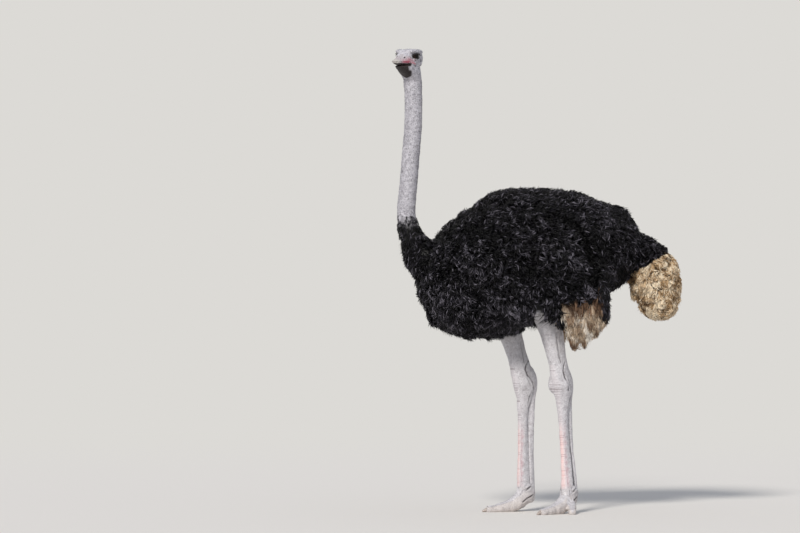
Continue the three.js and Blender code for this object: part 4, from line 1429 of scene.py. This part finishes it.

# Horn of the bill: matt and faintly fibrous, flushed along the edges and paler at the nail, with painted
# shade under the chin and in the nostrils.
add = material("bill_horn", bill)
fibres = add("TexNoise", {"Vector": add("TexCoord").outputs["Object"], "Scale": 220, "Detail": 5})
colour = add("ValToRGB", {"Fac": fibres}, stops=[(0.3, "#9b9397"), (0.7, "#c6c1c4")])
for key, above in (("tip", "#b5afaa"), ("flush", "#b8566a"), ("shade", "#2b2120"), ("hollow", "#2a1c1c")):
    mark = add("Attribute", attribute_name=key).outputs["Fac"]
    colour = add("Mix", {"Factor_Float": mark, "A_Color": colour, "B_Color": above}, data_type="RGBA")
bump = add("Bump", {"Height": fibres, "Strength": 0.3, "Distance": 0.001})
shader = add("BsdfPrincipled", {"Base Color": colour, "Roughness": 0.45, "Normal": bump})
add("OutputMaterial", {"Surface": shader})

# Eye: a dark brown iris with a fine net of lighter threads, under a wet clear cornea.
add = material("wet_eye", eyes)
off = add("Attribute", attribute_name="off_axis").outputs["Fac"]
threads = add("TexNoise", {"Vector": add("TexCoord").outputs["Object"], "Scale": 700, "Detail": 2})
wobble = add("Math", {0: threads, 1: 0.03, 2: off}, operation="MULTIPLY_ADD")
colour = add("ValToRGB", {"Fac": wobble}, stops=[
    (0.26, "#030202"), (0.29, "#170d08"), (0.40, "#26170e"), (0.47, "#100a07"), (0.56, "#090606"),
])
shader = add("BsdfPrincipled", {
    "Base Color": colour, "Roughness": 0.05, "IOR": 1.376, "Specular IOR Level": 0.2,
    "Coat Weight": 0.12, "Coat Roughness": 0.02,
})
add("OutputMaterial", {"Surface": shader})

# Scutes: overlapping plates of horny skin, grey above and flushed pink down the shank. Each plate darkens
# towards its upper edge, where it lies under the one above: painted shade.
add = material("horny_scutes", scutes)
flush, band = (add("Attribute", attribute_name=key).outputs["Fac"] for key in ("flush", "band"))
mottled = add("TexNoise", {"Vector": add("TexCoord").outputs["Object"], "Scale": 160, "Detail": 4})
grey = add("ValToRGB", {"Fac": mottled}, stops=[(0.3, "#b3afb3"), (0.7, "#d6d3d6")])
along = add("Math", {0: mottled, 1: 0.5, 2: band}, operation="MULTIPLY_ADD")
rosy = add("ValToRGB", {"Fac": along}, stops=[(0.25, "#cf8586"), (0.6, "#e4a9a8"), (1.0, "#ecccc9")])
colour = add("Mix", {"Factor_Float": flush, "A_Color": grey, "B_Color": rosy}, data_type="RGBA")
edges = add("ValToRGB", {"Fac": band}, stops=[(0.15, "#9d9496"), (0.6, "#ffffff")])
inputs = {"Factor_Float": 1.0, "A_Color": colour, "B_Color": edges}
colour = add("Mix", inputs, data_type="RGBA", blend_type="MULTIPLY")
bump = add("Bump", {"Height": mottled, "Strength": 0.4, "Distance": 0.001})
shader = add("BsdfPrincipled", {"Base Color": colour, "Roughness": 0.5, "Normal": bump})
add("OutputMaterial", {"Surface": shader})

# Claws: worn grey-brown horn.
add = material("claw_horn", claws)
worn = add("TexNoise", {"Vector": add("TexCoord").outputs["Object"], "Scale": 120, "Detail": 5})
colour = add("ValToRGB", {"Fac": worn}, stops=[(0.3, "#877b74"), (0.7, "#c6b9b1")])
bump = add("Bump", {"Height": worn, "Strength": 0.4, "Distance": 0.0015})
shader = add("BsdfPrincipled", {"Base Color": colour, "Roughness": 0.5, "Normal": bump})
add("OutputMaterial", {"Surface": shader})

# ---- Floor, lights and camera ----
BACKDROP = "#dcdad6"
bm = bmesh.new()
bmesh.ops.create_grid(bm, x_segments=1, y_segments=1, size=60)
floor = object_from(bm, "floor")
floor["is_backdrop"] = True
# The pale floor fades into the backdrop, so that no edge of it shows.
add = material("pale_studio_floor", [floor])
reach = add("VectorMath", {0: add("TexCoord").outputs["Object"]}, operation="LENGTH")
far = add("MapRange", {"Value": reach, "From Min": 2.6, "From Max": 9.0}, interpolation_type="SMOOTHSTEP")
seen = add("Math", {0: far, 1: add("LightPath").outputs["Is Camera Ray"]}, operation="MULTIPLY")
paint = add("BsdfPrincipled", {"Base Color": "#e7e2dc", "Roughness": 0.9})
glow = add("Emission", {"Color": BACKDROP, "Strength": 1})
mixed = add("MixShader", {"Fac": seen, 1: paint, 2: glow})
add("OutputMaterial", {"Surface": mixed})

world = bpy.data.worlds.new("studio")
bpy.context.scene.world = world
world.use_nodes = True
world.node_tree.nodes.clear()
add = partial(add_node, world.node_tree)
path = add("LightPath").outputs
fill = add("Background", {"Color": "#dbe4f4", "Strength": 0.5})
backdrop = add("Background", {"Color": BACKDROP, "Strength": 1})
seen = add("Math", {0: path["Is Camera Ray"], 1: path["Is Glossy Ray"]}, operation="MAXIMUM")
mixed = add("MixShader", {"Fac": seen, 1: fill, 2: backdrop})
add("OutputWorld", {"Surface": mixed})


def aimed(name, data, place, target):
    """A lamp or a camera at a place, looking at a target."""
    made = shown(name, data)
    made.location = place
    made.rotation_mode = "QUATERNION"
    made.rotation_quaternion = (Vector(target) - Vector(place)).to_track_quat("-Z", "Y")
    return made


sun = bpy.data.lights.new("key", "SUN")
sun.angle, sun.energy, sun.color = 0.2, 2.8, linear("#fffcf6")[:3]
aimed("key", sun, (-5.2, -8.6, 8.2), (0, 0, 1.1))

CAMERA_TURN = math.radians(-12)  # the camera looks along +Y, turned towards the tail
CAMERA_AWAY = 28.0
CAMERA_HEIGHT = 1.6
VIEW_WIDTH = 3.768  # metres across at the bird
AIM_ASIDE, AIM_UP = -0.636, 1.159  # from the origin of the drawing, to the camera's right and up
right = np.array([math.cos(CAMERA_TURN), math.sin(CAMERA_TURN), 0])
back = np.array([math.sin(CAMERA_TURN), -math.cos(CAMERA_TURN), 0])
aim = ORIGIN * MM * np.array([1, 1, 0]) + right * AIM_ASIDE + UPWARD * AIM_UP
eye = aim + back * math.sqrt(CAMERA_AWAY**2 - (CAMERA_HEIGHT - aim[2]) ** 2)
eye[2] = CAMERA_HEIGHT
camera_data = bpy.data.cameras.new("camera")
camera_data.sensor_width = 36
camera_data.lens = 36 * CAMERA_AWAY / VIEW_WIDTH
camera_data.clip_end = 200
bpy.context.scene.camera = aimed("camera", camera_data, eye, aim)
bpy.context.scene.view_settings.view_transform = "Standard"

low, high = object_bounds()
